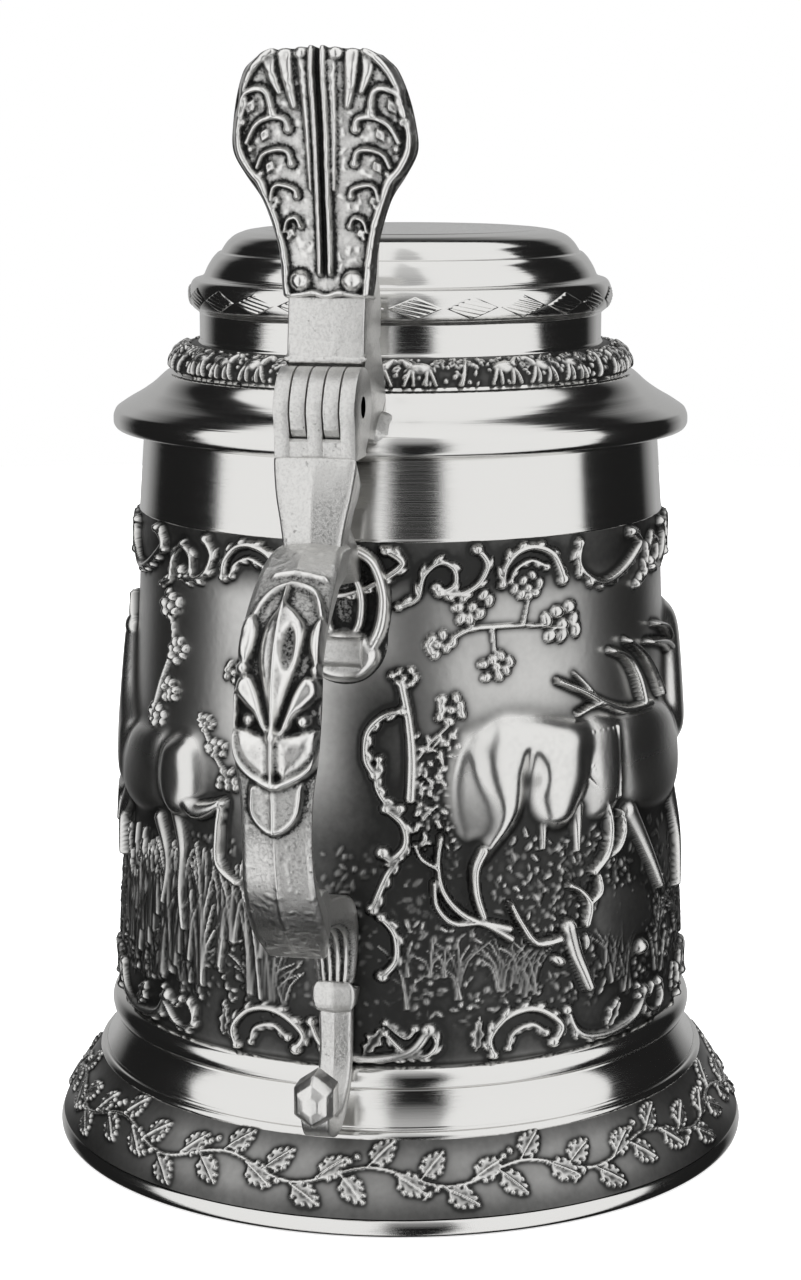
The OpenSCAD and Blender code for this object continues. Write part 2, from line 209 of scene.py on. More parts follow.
def face_out(points, faces):
    """The same faces, turned so that the closed shape's volume is positive."""
    volume = 0.0
    for f in faces:
        f = np.asarray(f)
        a = points[f[:, 0]]
        for k in range(1, f.shape[1] - 1):
            volume += np.einsum("ij,ij->i", a, np.cross(points[f[:, k]], points[f[:, k + 1]])).sum()
    return faces if volume > 0 else [np.asarray(f)[:, ::-1] for f in faces]


def turned(name, outline, closed=True):
    """A turned piece; its outline runs anticlockwise in (radius, height), with poles on the axis."""
    n = bpy.context.scene.tankard.turned_segments
    outline = np.asarray(outline, float)
    if closed and np.allclose(outline[0], outline[-1]):
        outline = outline[:-1]
    angle = np.arange(n) * 2 * math.pi / n
    points, rows = [], []
    count = 0
    for r, z in outline:
        if r < 1e-6:
            points.append(np.array([[0, 0, z]]))
            rows.append(np.full(n, count))
            count += 1
        else:
            points.append(np.stack([r * np.cos(angle), r * np.sin(angle), np.full(n, z)], 1))
            rows.append(np.arange(n) + count)
            count += n
    points = np.vstack(points)
    quads, tris = [], []
    pairs = list(zip(range(len(rows) - 1), range(1, len(rows))))
    if closed and outline[0][0] > 1e-6 and outline[-1][0] > 1e-6:
        pairs.append((len(rows) - 1, 0))
    for a, b in pairs:
        lo, hi = rows[a], rows[b]
        lo2, hi2 = np.roll(lo, -1), np.roll(hi, -1)
        if outline[a][0] < 1e-6:
            tris.append(np.stack([lo, hi2, hi], 1))
        elif outline[b][0] < 1e-6:
            tris.append(np.stack([lo, lo2, hi], 1))
        else:
            quads.append(np.stack([lo, lo2, hi2, hi], 1))
    faces = [np.vstack(quads)] + ([np.vstack(tris)] if tris else [])
    return make_mesh(name, points, faces, np.ones(len(points)))


# ---------------------------------------------------------------- relief drawing


class Relief:
    """A height field in millimetres: u runs around or along the piece, v across it."""

    def __init__(self, u0, u1, v0, v1, cell, wraps=False):
        self.wraps, self.span = wraps, u1 - u0
        nu, nv = int(round((u1 - u0) / cell)), int(round((v1 - v0) / cell)) + 1
        self.u = np.linspace(u0, u1, nu, endpoint=False) if wraps else np.linspace(u0, u1, nu + 1)
        self.v = np.linspace(v0, v1, nv)
        self.du, self.dv = self.u[1] - self.u[0], self.v[1] - self.v[0]
        self.h = np.zeros((len(self.v), len(self.u)))
        self.paint = np.zeros_like(self.h)

    def lay(self, lo, hi, shape, carve=False):
        """Raises, or carves, the field with shape(u, v) inside the box from lo to hi."""
        for shift in ((-self.span, 0, self.span) if self.wraps else (0,)):
            i0 = max(int((lo[0] + shift - self.u[0]) / self.du), 0)
            i1 = min(int((hi[0] + shift - self.u[0]) / self.du) + 2, len(self.u))
            j0 = max(int((lo[1] - self.v[0]) / self.dv), 0)
            j1 = min(int((hi[1] - self.v[0]) / self.dv) + 2, len(self.v))
            if i1 <= i0 or j1 <= j0:
                continue
            uu, vv = np.meshgrid(self.u[i0:i1] - shift, self.v[j0:j1])
            view = self.h[j0:j1, i0:i1]
            if carve:
                view -= shape(uu, vv)
            else:
                np.maximum(view, shape(uu, vv), out=view)

    def stroke(self, points, width, height, base=0.0, steps=5):
        """A raised rounded line; width is its half width at its ends, as one value or (start, end)."""
        p = spline(points, steps) if len(points) > 2 else np.array(points, float)
        w = np.linspace(*((width, width) if np.isscalar(width) else width), len(p))
        for a, b, wa, wb in zip(p[:-1], p[1:], w[:-1], w[1:]):
            d = b - a
            length = max(d @ d, 1e-9)
            m = max(wa, wb)

            def shape(u, v, a=a, d=d, wa=wa, wb=wb, length=length):
                t = np.clip(((u - a[0]) * d[0] + (v - a[1]) * d[1]) / length, 0, 1)
                q = np.hypot(u - a[0] - t * d[0], v - a[1] - t * d[1]) / (wa + (wb - wa) * t)
                return np.where(q < 1, base + height * np.clip(1 - q * q, 0, 1) ** 0.5, 0)

            self.lay(np.minimum(a, b) - m, np.maximum(a, b) + m, shape)

    def mass(self, outline, height, edge, paint=0.0):
        """A fleshy shape: a closed smooth outline, rounded over the edge width, flatter inside."""
        p = spline(list(outline) + [outline[0]], 5)
        for shift in ((-self.span, 0, self.span) if self.wraps else (0,)):
            q = p + (shift, 0)
            across = ((q[:, 0].min(), q[:, 0].max()) - self.u[0]) / self.du + (-2, 3)
            upward = ((q[:, 1].min(), q[:, 1].max()) - self.v[0]) / self.dv + (-2, 3)
            i0, i1 = np.clip(across, 0, len(self.u)).astype(int)
            j0, j1 = np.clip(upward, 0, len(self.v)).astype(int)
            if i1 <= i0 or j1 <= j0:
                continue
            uu, vv = np.meshgrid(self.u[i0:i1], self.v[j0:j1])
            near, inside = np.full(uu.shape, 1e9), np.zeros(uu.shape, bool)
            for (ax, ay), (bx, by) in zip(q[:-1], q[1:]):
                dx, dy = bx - ax, by - ay
                t = np.clip(((uu - ax) * dx + (vv - ay) * dy) / max(dx * dx + dy * dy, 1e-9), 0, 1)
                near = np.minimum(near, np.hypot(uu - ax - t * dx, vv - ay - t * dy))
                if ay != by:
                    inside ^= ((ay > vv) != (by > vv)) & (uu < dx * (vv - ay) / dy + ax)
            k = np.clip(near / edge, 0, 1)
            view = self.h[j0:j1, i0:i1]
            np.maximum(view, np.where(inside, height * (1 - (1 - k) ** 2) ** 0.5, 0), out=view)
            if paint:
                self.paint[j0:j1, i0:i1] += np.where(inside, paint * smooth_step(near / min(edge, 1.0)), 0)

    def blob(self, u0, v0, ru, rv, height, turn=0.0, carve=False):
        """A raised oval, or a carved one."""
        c, s = math.cos(math.radians(turn)), math.sin(math.radians(turn))
        m = max(ru, rv)

        def shape(u, v):
            x, y = u - u0, v - v0
            q = ((x * c + y * s) / ru) ** 2 + ((y * c - x * s) / rv) ** 2
            return np.where(q < 1, height * np.clip(1 - q, 0, 1) ** 0.55, 0)

        self.lay((u0 - m, v0 - m), (u0 + m, v0 + m), shape, carve)

    def leaf(self, u0, v0, turn, length, width, height, lobes=3):
        """A lobed leaf growing from (u0, v0), with a sunk midrib and raised lobes."""
        c, s = math.cos(math.radians(turn)), math.sin(math.radians(turn))

        def shape(u, v):
            x, y = (u - u0) * c + (v - v0) * s, (v - v0) * c - (u - u0) * s
            t = np.clip(x / length, 0, 1)
            wave = 1 + 0.3 * np.cos(2 * math.pi * (lobes * t - 0.5))
            w = width * np.sin(math.pi * t ** 0.85) * wave + 1e-6
            q = np.abs(y) / w
            rim = 0.6 + 0.4 * smooth_step(q * 1.6)
            swell = height * rim * np.clip(1 - q ** 4, 0, 1) ** 0.5
            return np.where((q < 1) & (x > 0) & (x < length), swell, 0)

        m = length + width
        self.lay((u0 - m, v0 - m), (u0 + m, v0 + m), shape)

    def soften(self, field, reach):
        """The field averaged over about reach millimetres."""
        out = field
        for axis, step in ((1, self.du), (0, self.dv)):
            k = max(int(2.5 * reach / step), 1)
            w = np.exp(-0.5 * (np.arange(-k, k + 1) * step / reach) ** 2)
            w /= w.sum()
            pad = [(0, 0), (0, 0)]
            pad[axis] = (k, k)
            big = np.pad(out, pad, mode="wrap" if self.wraps and axis == 1 else "edge")
            n = out.shape[axis]
            out = sum(w[i] * (big[:, i:i + n] if axis == 1 else big[i:i + n]) for i in range(2 * k + 1))
        return out

    def tone(self, near=0.5, wide=2.2, gain=1.0, ground=0.42, rub=0.5, halo=0.55):
        """How rubbed the surface is, from 0 in blackened hollows to 1 on high points; a caller's ground may
        also carry painted shade.
        """
        high = self.h - self.soften(self.h, near)
        tall = np.clip(self.h / 1.2, 0, 1)
        crowd = self.soften(np.clip(self.h / 0.8, 0, 1), wide)
        shadow = halo * crowd * (1 - 0.7 * tall)
        return np.clip(ground + self.paint + gain * high * 2.2 + rub * tall - shadow, 0, 1)


def sample(field, relief, u, v):
    """The field's value at scattered (u, v), read between its cells."""
    x = np.clip((u - relief.u[0]) / relief.du, 0, len(relief.u) - 1.001)
    y = np.clip((v - relief.v[0]) / relief.dv, 0, len(relief.v) - 1.001)
    i, j = x.astype(int), y.astype(int)
    fx, fy = x - i, y - j
    return (field[j, i] * (1 - fx) * (1 - fy) + field[j, i + 1] * fx * (1 - fy)
            + field[j + 1, i] * (1 - fx) * fy + field[j + 1, i + 1] * fx * fy)


def wrapped_sheet(name, relief, place, tone, parts):
    """Splits a relief that goes all round into pieces that share their edges and their normals."""
    u, v = np.meshgrid(relief.u, relief.v)
    points = place(u, v, relief.h)
    nv, nu = u.shape
    across = np.roll(points, -1, 1) - np.roll(points, 1, 1)
    along = np.gradient(points, axis=0)
    normal = np.cross(across, along)
    normal /= np.linalg.norm(normal, axis=2, keepdims=True)
    made = []
    edges = np.linspace(0, nu, parts + 1).astype(int)
    for k in range(parts):
        cols = np.arange(edges[k], edges[k + 1] + 1) % nu
        pts, nrm = points[:, cols].reshape(-1, 3), normal[:, cols].reshape(-1, 3)
        quads = grid_quads((nv, len(cols)))
        obj = make_mesh(f"{name}_{k + 1}", pts, [quads], tone[:, cols].ravel())
        obj.data.normals_split_custom_set_from_vertices(nrm)
        made.append(obj)
    return made


def swept(name, stations, steps=6, around=96, relief=None, tone=None, back=0.84, edge=1.0, cap=1.0):
    """A cast bar in the handle's plane. A station is (x, z, width, thickness, ridge) on the outer face,
    and the relief is drawn on that face in (length along it, distance from its middle)."""
    p = spline(stations, steps)
    step = np.gradient(p[:, :2], axis=0)
    step /= np.linalg.norm(step, axis=1, keepdims=True)
    length = path_length(p[:, :2])
    # section: the front from side to side, then round the back
    nf = around * 5 // 8
    nb = around - nf
    f = np.linspace(-1, 1, nf)
    b = np.linspace(1, -1, nb + 2)[1:-1]
    rows, tones = [], []
    total = length[-1]
    for i in range(len(p)):
        x, z, width, thick, ridge = p[i]
        s = length[i]
        # the ends close in over the cap length
        e = min(s, total - s) / max(cap, 1e-6)
        pinch = math.sqrt(max(1 - (1 - min(e, 1)) ** 2, 0.0)) if cap > 0 else 1.0
        pinch = max(pinch, 0.02)
        w = width / 2 * (0.55 + 0.45 * pinch)
        d = thick * (0.3 + 0.7 * pinch)
        drop = (thick - d) * 0.5
        # the front drops to the sides past the facet ridge, and its corners are rounded
        front_y = f * w
        corner = np.clip((np.abs(f) - 1 + 0.18) / 0.18, 0, 1) ** 2
        fall = ridge * np.minimum(np.abs(front_y) / w, 1.2) + edge * corner
        lift = np.zeros(nf)
        if relief is not None:
            ss = np.full(nf, s)
            lift = sample(relief.h, relief, ss, front_y) * (1 - np.clip((np.abs(f) - 0.93) / 0.07, 0, 1))
            tones.append(np.concatenate([sample(tone, relief, ss, front_y), np.full(nb, PLAIN_TONE)]))
        else:
            tones.append(np.full(around, PLAIN_TONE))
        front_n = -fall - drop + lift
        ang = np.abs(b)
        side = np.clip((ang - 0.6) / 0.4, 0, 1)
        back_y = np.sign(b) * (np.minimum(ang / 0.6, 1) * w * back + side * w * (1 - back))
        back_n = -drop - d + side ** 1.3 * (d - ridge - edge)
        n = np.concatenate([front_n, back_n])
        y = np.concatenate([front_y, back_y])
        tx, tz = step[i]
        nx, nz = -tz, tx
        rows.append(np.stack([x + nx * n, y, z + nz * n], 1))
    ring = len(rows[0])
    pts = np.vstack(rows)
    m = len(rows)
    a = (np.arange(m - 1)[:, None] * ring + np.arange(ring)).ravel()
    b2 = (np.arange(m - 1)[:, None] * ring + (np.arange(ring) + 1) % ring).ravel()
    quads = np.stack([a, b2, b2 + ring, a + ring], 1)
    first, last = rows[0].mean(0), rows[-1].mean(0)
    pts = np.vstack([pts, first, last])
    k = np.arange(ring)
    k2 = (k + 1) % ring
    tris = np.vstack([np.stack([k2, k, np.full(ring, m * ring)], 1),
                      np.stack([k + (m - 1) * ring, k2 + (m - 1) * ring, np.full(ring, m * ring + 1)], 1)])
    values = np.concatenate(tones + [[tones[0].mean(), tones[-1].mean()]])
    faces = face_out(pts, [quads, tris])
    return make_mesh(name, pts, faces, values)


def prism(name, outline, y0, y1, bevel=0.3, segments=3, tone=0.87):
    """A flat-sided piece with an outline in (x, z) between two y planes, its edges rounded."""
    mesh = bpy.data.meshes.new(name)
    bm = bmesh.new()
    lower = [bm.verts.new((x * MM, y0 * MM, z * MM)) for x, z in outline]
    upper = [bm.verts.new((x * MM, y1 * MM, z * MM)) for x, z in outline]
    bm.faces.new(lower)
    bm.faces.new(upper[::-1])
    n = len(outline)
    for i in range(n):
        bm.faces.new((lower[i], upper[i], upper[(i + 1) % n], lower[(i + 1) % n]))
    bmesh.ops.recalc_face_normals(bm, faces=bm.faces)
    if bevel:
        bmesh.ops.bevel(bm, geom=bm.edges[:], offset=bevel * MM, segments=segments, profile=0.5,
                        affect="EDGES", clamp_overlap=True)
    bm.to_mesh(mesh)
    bm.free()
    obj = bpy.data.objects.new(name, mesh)
    bpy.context.scene.collection.objects.link(obj)
    return finish_edges(obj, tone)


def finish_edges(obj, tone):
    """Smooth shading with sharp corners kept, and one tone all over."""
    mesh = obj.data
    mesh.shade_smooth()
    mesh.set_sharp_from_angle(angle=math.radians(38))
    attribute = mesh.attributes.new("tone", "FLOAT", "POINT")
    attribute.data.foreach_set("value", np.full(len(mesh.vertices), tone, np.float32))
    return obj


def join(name, objects):
    """One piece from several, joined into the first."""
    bpy.ops.object.select_all(action="DESELECT")
    for o in objects:
        o.select_set(True)
    bpy.context.view_layer.objects.active = objects[0]
    bpy.ops.object.join()
    out = bpy.context.view_layer.objects.active
    out.name = name
    out.data.name = name
    return out


def place_piece(obj, body, slot, material, *nodes):
    """Dresses a finished piece and ties it to the frame."""
    obj.data.materials.clear()
    obj.data.materials.append(material)
    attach(obj, body)
    if nodes:
        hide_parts(*nodes)
    return obj


# ---------------------------------------------------------------- finishes


def add_group(name, inputs, outputs):
    """An empty shader group with its sockets; an input is (name, type, default)."""
    tree = bpy.data.node_groups.new(name, "ShaderNodeTree")
    for label, kind, default in inputs:
        socket = tree.interface.new_socket(name=label, in_out="INPUT", socket_type=kind)
        socket.default_value = default
    for label, kind in outputs:
        tree.interface.new_socket(name=label, in_out="OUTPUT", socket_type=kind)
    return tree, tree.nodes.new("NodeGroupInput"), tree.nodes.new("NodeGroupOutput")


def math_node(tree, operation, a, b=None, clamp=False):
    """The result of one Math node; a and b are sockets or plain numbers."""
    node = tree.nodes.new("ShaderNodeMath")
    node.operation = operation
    node.use_clamp = clamp
    for socket, value in zip(node.inputs, (a, b)):
        if value is None:
            continue
        if isinstance(value, (int, float)):
            socket.default_value = value
        else:
            tree.links.new(value, socket)
    return node.outputs[0]


def turning_lines_group():
    """Fine lines left by turning: streaks that follow the circumference."""
    tree, gin, gout = add_group(
        "Turning lines",
        [("Lines per metre", "NodeSocketFloat", 9000.0), ("Wander", "NodeSocketFloat", 30.0)],
        [("Height", "NodeSocketFloat"), ("Mask", "NodeSocketFloat")],
    )
    coords = tree.nodes.new("ShaderNodeTexCoord")
    split = tree.nodes.new("ShaderNodeSeparateXYZ")
    tree.links.new(coords.outputs["Object"], split.inputs[0])
    x, y, z = split.outputs
    r = math_node(tree, "SQRT", math_node(tree, "ADD", math_node(tree, "MULTIPLY", x, x),
                                          math_node(tree, "MULTIPLY", y, y)))
    along = math_node(tree, "ADD", z, math_node(tree, "MULTIPLY", r, 0.83))
    join_xyz = tree.nodes.new("ShaderNodeCombineXYZ")
    tree.links.new(math_node(tree, "MULTIPLY", x, gin.outputs["Wander"]), join_xyz.inputs[0])
    tree.links.new(math_node(tree, "MULTIPLY", y, gin.outputs["Wander"]), join_xyz.inputs[1])
    tree.links.new(math_node(tree, "MULTIPLY", along, gin.outputs["Lines per metre"]), join_xyz.inputs[2])
    noise = tree.nodes.new("ShaderNodeTexNoise")
    noise.inputs["Scale"].default_value = 1.0
    noise.inputs["Detail"].default_value = 3.0
    tree.links.new(join_xyz.outputs[0], noise.inputs["Vector"])
    tree.links.new(noise.outputs["Fac"], gout.inputs["Height"])
    tree.links.new(math_node(tree, "MULTIPLY", noise.outputs["Fac"], 1.0, True), gout.inputs["Mask"])
    return tree


def antique_group():
    """Blackened hollows, satin ground and rubbed high points, from how rubbed the surface is."""
    tree, gin, gout = add_group(
        "Antique rub",
        [("Tone", "NodeSocketFloat", 0.5), ("Patina", "NodeSocketColor", (0.04, 0.04, 0.04, 1)),
         ("Rubbed", "NodeSocketColor", (0.75, 0.74, 0.72, 1)), ("Grain", "NodeSocketFloat", 0.12)],
        [("Color", "NodeSocketColor"), ("Roughness", "NodeSocketFloat"), ("Height", "NodeSocketFloat")],
    )
    coords = tree.nodes.new("ShaderNodeTexCoord")
    noise = tree.nodes.new("ShaderNodeTexNoise")
    noise.inputs["Scale"].default_value = 900.0
    noise.inputs["Detail"].default_value = 4.0
    tree.links.new(coords.outputs["Object"], noise.inputs["Vector"])
    cloud = tree.nodes.new("ShaderNodeTexNoise")
    cloud.inputs["Scale"].default_value = 90.0
    cloud.inputs["Detail"].default_value = 3.0
    tree.links.new(coords.outputs["Object"], cloud.inputs["Vector"])
    speck = math_node(tree, "MULTIPLY", math_node(tree, "SUBTRACT", noise.outputs["Fac"], 0.5),
                      gin.outputs["Grain"])
    patch = math_node(tree, "MULTIPLY", math_node(tree, "SUBTRACT", cloud.outputs["Fac"], 0.5), 0.16)
    tone = math_node(tree, "ADD", gin.outputs["Tone"], math_node(tree, "ADD", speck, patch), True)
    curve = math_node(tree, "POWER", tone, 1.35)
    mix = tree.nodes.new("ShaderNodeMix")
    mix.data_type = "RGBA"
    tree.links.new(curve, mix.inputs["Factor"])
    tree.links.new(gin.outputs["Patina"], mix.inputs[6])
    tree.links.new(gin.outputs["Rubbed"], mix.inputs[7])
    tree.links.new(mix.outputs[2], gout.inputs["Color"])
    rough = math_node(tree, "SUBTRACT", 0.5, math_node(tree, "MULTIPLY", tone, 0.26))
    tree.links.new(rough, gout.inputs["Roughness"])
    tree.links.new(noise.outputs["Fac"], gout.inputs["Height"])
    return tree


def casting_group():
    """Pits and soft unevenness of cast metal, with dirt held in the pits."""
    tree, gin, gout = add_group(
        "Casting skin",
        [("Tone", "NodeSocketFloat", 0.8), ("Patina", "NodeSocketColor", (0.04, 0.04, 0.04, 1)),
         ("Rubbed", "NodeSocketColor", (0.75, 0.74, 0.72, 1))],
        [("Color", "NodeSocketColor"), ("Roughness", "NodeSocketFloat"), ("Height", "NodeSocketFloat")],
    )
    coords = tree.nodes.new("ShaderNodeTexCoord")
    pits = tree.nodes.new("ShaderNodeTexNoise")
    pits.inputs["Scale"].default_value = 1500.0
    pits.inputs["Detail"].default_value = 5.0
    pits.inputs["Roughness"].default_value = 0.65
    area = tree.nodes.new("ShaderNodeTexNoise")
    area.inputs["Scale"].default_value = 120.0
    area.inputs["Detail"].default_value = 3.0
    wave = tree.nodes.new("ShaderNodeTexNoise")
    wave.inputs["Scale"].default_value = 260.0
    wave.inputs["Detail"].default_value = 2.0
    for node in (pits, area, wave):
        tree.links.new(coords.outputs["Object"], node.inputs["Vector"])
    # pits only show where the area noise lets them
    gate = math_node(tree, "MULTIPLY", math_node(tree, "SUBTRACT", area.outputs["Fac"], 0.42), 3.0, True)
    deep = math_node(tree, "MULTIPLY", math_node(tree, "SUBTRACT", 0.40, pits.outputs["Fac"]), 9.0, True)
    pit = math_node(tree, "MULTIPLY", deep, gate, True)
    # old dirt in flecks, most where the skin is only half rubbed
    flecks = tree.nodes.new("ShaderNodeTexNoise")
    flecks.inputs["Scale"].default_value = 2300.0
    flecks.inputs["Detail"].default_value = 5.0
    flecks.inputs["Roughness"].default_value = 0.7
    tree.links.new(coords.outputs["Object"], flecks.inputs["Vector"])
    dull = math_node(tree, "SUBTRACT", 1.0, gin.outputs["Tone"], True)
    dirt = math_node(tree, "MULTIPLY", math_node(tree, "SUBTRACT", flecks.outputs["Fac"], 0.46), 5.0, True)
    dirt = math_node(tree, "MULTIPLY", dirt, math_node(tree, "MULTIPLY", dull, 1.5, True))
    pit = math_node(tree, "MAXIMUM", pit, dirt)
    tone = math_node(tree, "SUBTRACT", gin.outputs["Tone"], math_node(tree, "MULTIPLY", pit, 0.6), True)
    mix = tree.nodes.new("ShaderNodeMix")
    mix.data_type = "RGBA"
    tree.links.new(math_node(tree, "POWER", tone, 1.2), mix.inputs["Factor"])
    tree.links.new(gin.outputs["Patina"], mix.inputs[6])
    tree.links.new(gin.outputs["Rubbed"], mix.inputs[7])
    tree.links.new(mix.outputs[2], gout.inputs["Color"])
    rough = math_node(tree, "SUBTRACT", 0.5, math_node(tree, "MULTIPLY", tone, 0.22))
    tree.links.new(rough, gout.inputs["Roughness"])
    high = math_node(tree, "SUBTRACT", math_node(tree, "MULTIPLY", wave.outputs["Fac"], 1.2),
                     math_node(tree, "MULTIPLY", pit, 0.8))
    tree.links.new(high, gout.inputs["Height"])
    return tree


def new_material(name, roughness):
    """A bare metal material with its node tree and shader."""
    material = bpy.data.materials.new(name)
    material.use_nodes = True
    shader = material.node_tree.nodes["Principled BSDF"]
    shader.inputs["Metallic"].default_value = 1.0
    shader.inputs["Roughness"].default_value = roughness
    return material, material.node_tree, shader


def add_bump(tree, shader, height, distance):
    """Bump on the shader's normal from a height socket."""
    bump = tree.nodes.new("ShaderNodeBump")
    bump.inputs["Strength"].default_value = 1.0
    bump.inputs["Distance"].default_value = distance
    tree.links.new(height, bump.inputs["Height"])
    tree.links.new(bump.outputs["Normal"], shader.inputs["Normal"])


def finishes():
    """The tankard's materials, made once."""
    if "Turned pewter" in bpy.data.materials:
        return bpy.data.materials
    settings = bpy.context.scene.tankard
    bright, patina = (*settings.bright, 1), (*settings.patina, 1)
    lines, antique, casting = turning_lines_group(), antique_group(), casting_group()

    material, tree, shader = new_material("Turned pewter", 0.16)
    shader.inputs["Base Color"].default_value = bright
    node = tree.nodes.new("ShaderNodeGroup")
    node.node_tree = lines
    rough = math_node(tree, "ADD", math_node(tree, "MULTIPLY", node.outputs["Mask"], 0.12), 0.06)
    tree.links.new(rough, shader.inputs["Roughness"])
    add_bump(tree, shader, node.outputs["Height"], 0.014 * MM)

    for name, group, depth in (("Antique pewter", antique, 0.02), ("Cast pewter", casting, 0.11)):
        material, tree, shader = new_material(name, 0.35)
        tone = tree.nodes.new("ShaderNodeAttribute")
        tone.attribute_name = "tone"
        node = tree.nodes.new("ShaderNodeGroup")
        node.node_tree = group
        node.inputs["Patina"].default_value = patina
        lifted = 1.0 if group is antique else 1.12
        node.inputs["Rubbed"].default_value = [channel * lifted for channel in bright[:3]] + [1]
        tree.links.new(tone.outputs["Fac"], node.inputs["Tone"])
        tree.links.new(node.outputs["Color"], shader.inputs["Base Color"])
        tree.links.new(node.outputs["Roughness"], shader.inputs["Roughness"])
        add_bump(tree, shader, node.outputs["Height"], depth * MM)
    return bpy.data.materials


# ---------------------------------------------------------------- the hunting scenes


def leaf_cluster(relief, u, v, size, rng, height=1.0):
    """A tuft of oak leaves: a ring of rounded lobes about a middle one."""
    for k in range(7):
        a = 2 * math.pi * (k + rng.random() * 0.5) / 7
        d = size * (0.5 + 0.4 * rng.random())
        relief.blob(u + d * math.cos(a), v + d * 0.75 * math.sin(a), size * 0.34, size * 0.27,
                    height * (0.8 + 0.4 * rng.random()), rng.random() * 180)
    relief.blob(u, v, size * 0.3, size * 0.26, height)


def twig(relief, points, clusters, rng, width=0.35):
    """A branch with leaf tufts at (u, v, size)."""
    relief.stroke(points, (width * 1.4, width * 0.7), 0.7)
    for u, v, size in clusters:
        leaf_cluster(relief, u, v, size, rng)


def rocaille(relief, points, width, height, side=1, pitch=2.8):
    """A scroll with small shells along its outer side and a bead at each end."""
    width *= 1.35
    relief.stroke(points, (width * 0.75, width), height)
    p = spline(points, 8)
    length = path_length(p)
    d = np.gradient(p, axis=0)
    d /= np.linalg.norm(d, axis=1, keepdims=True)
    q = p + side * width * 0.75 * np.stack([-d[:, 1], d[:, 0]], 1)
    for k in range(int(length[-1] / pitch)):
        i = int(np.argmin(np.abs(length - (k + 0.6) * pitch)))
        turn = math.degrees(math.atan2(d[i, 1], d[i, 0])) + 18 * side
        relief.blob(q[i, 0], q[i, 1], 1.25, 0.6, height * 0.9, turn)
    for i, r in ((0, 0.8), (-1, 1.1)):
        relief.blob(p[i, 0], p[i, 1], width * r + 0.35, width * r + 0.25, height * 1.15)


def border_upper(relief, u):
    """One length of the scroll border below the plain band."""
    rocaille(relief, [(u - 0.5, 95.3), (u + 2.5, 96.6), (u + 3.5, 100), (u + 6, 102), (u + 8.3, 101),
                      (u + 8.6, 98.8), (u + 7, 97.6), (u + 5.6, 98.2)], 0.5, 1.1)
    rocaille(relief, [(u + 6, 97.3), (u + 9.5, 97.2), (u + 12.3, 98.6), (u + 13.8, 101.5),
                      (u + 12.2, 103.8)], 0.55, 1.2, -1)
    rocaille(relief, [(u + 16.3, 98.3), (u + 16.8, 101), (u + 19, 103.2), (u + 22.2, 103.7),
                      (u + 25.6, 102.2), (u + 27.6, 98.3)], 0.6, 1.3)
    rocaille(relief, [(u + 17.8, 98.6), (u + 18.6, 100.4), (u + 21.4, 101.6), (u + 24.4, 100.4)], 0.35, 0.9,
             -1, 2.4)
    rocaille(relief, [(u + 31, 103.6), (u + 30.6, 100.6), (u + 32.5, 98.4), (u + 36, 96.9), (u + 40, 97.6),
                      (u + 44.3, 99.6), (u + 47.2, 102), (u + 44.6, 104)], 0.6, 1.3, -1)


def border_lower(relief, u):
    """One length of the scroll border above the waist ring."""
    rocaille(relief, [(u - 2, 29.4), (u + 1, 26.2), (u + 4, 25.7), (u + 5.6, 27.6), (u + 4.6, 30)], 0.45,
             1.1, -1, 2)
    rocaille(relief, [(u - 2, 31), (u + 1, 28.6), (u + 2.4, 30)], 0.35, 0.9, 1, 2)
    rocaille(relief, [(u + 14.2, 25.2), (u + 13.6, 28), (u + 16, 31), (u + 19.6, 32), (u + 22.8, 31),
                      (u + 25.4, 28.4), (u + 24.2, 26)], 0.6, 1.3, 1)
    rocaille(relief, [(u + 16.6, 26), (u + 17.4, 28.4), (u + 20.4, 29.3), (u + 22.8, 27.6)], 0.4, 0.9, -1,
             2)
    rocaille(relief, [(u + 26.6, 30.6), (u + 28, 27.4), (u + 30.8, 25.6), (u + 36, 25.2), (u + 41.4, 26.4),
                      (u + 44, 29.8)], 0.7, 1.2, -1)
    relief.leaf(u + 34.5, 26, 55, 5.4, 1.3, 1.0)
    relief.leaf(u + 11.5, 26, 84, 5.4, 1.0, 0.8)


def divider(relief, u):
    """An upright chain of C-scrolls that parts two scenes."""
    rocaille(relief, [(u + 3.6, 79.4), (u + 0.8, 78.6), (u - 1.6, 76), (u - 1.8, 72), (u - 0.4, 69.6)], 0.6,
             1.4, 1)
    rocaille(relief, [(u + 0.2, 72), (u - 0.2, 68), (u + 1.6, 65), (u + 3.4, 64.4)], 0.5, 1.2, 1, 2)
    rocaille(relief, [(u + 1.2, 64.4), (u + 3.8, 62), (u + 4.2, 58.8), (u + 2.2, 56.6), (u + 0.8, 57.6)],
             0.65, 1.4, 1)
    rocaille(relief, [(u + 3.4, 57), (u + 1.6, 54.4), (u + 0.4, 51.6), (u - 0.6, 48.8)], 0.6, 1.2, 1)
    rocaille(relief, [(u + 0.6, 47.6), (u + 2.6, 45), (u + 2.8, 41), (u + 0.8, 38.4)], 0.6, 1.2, 1)


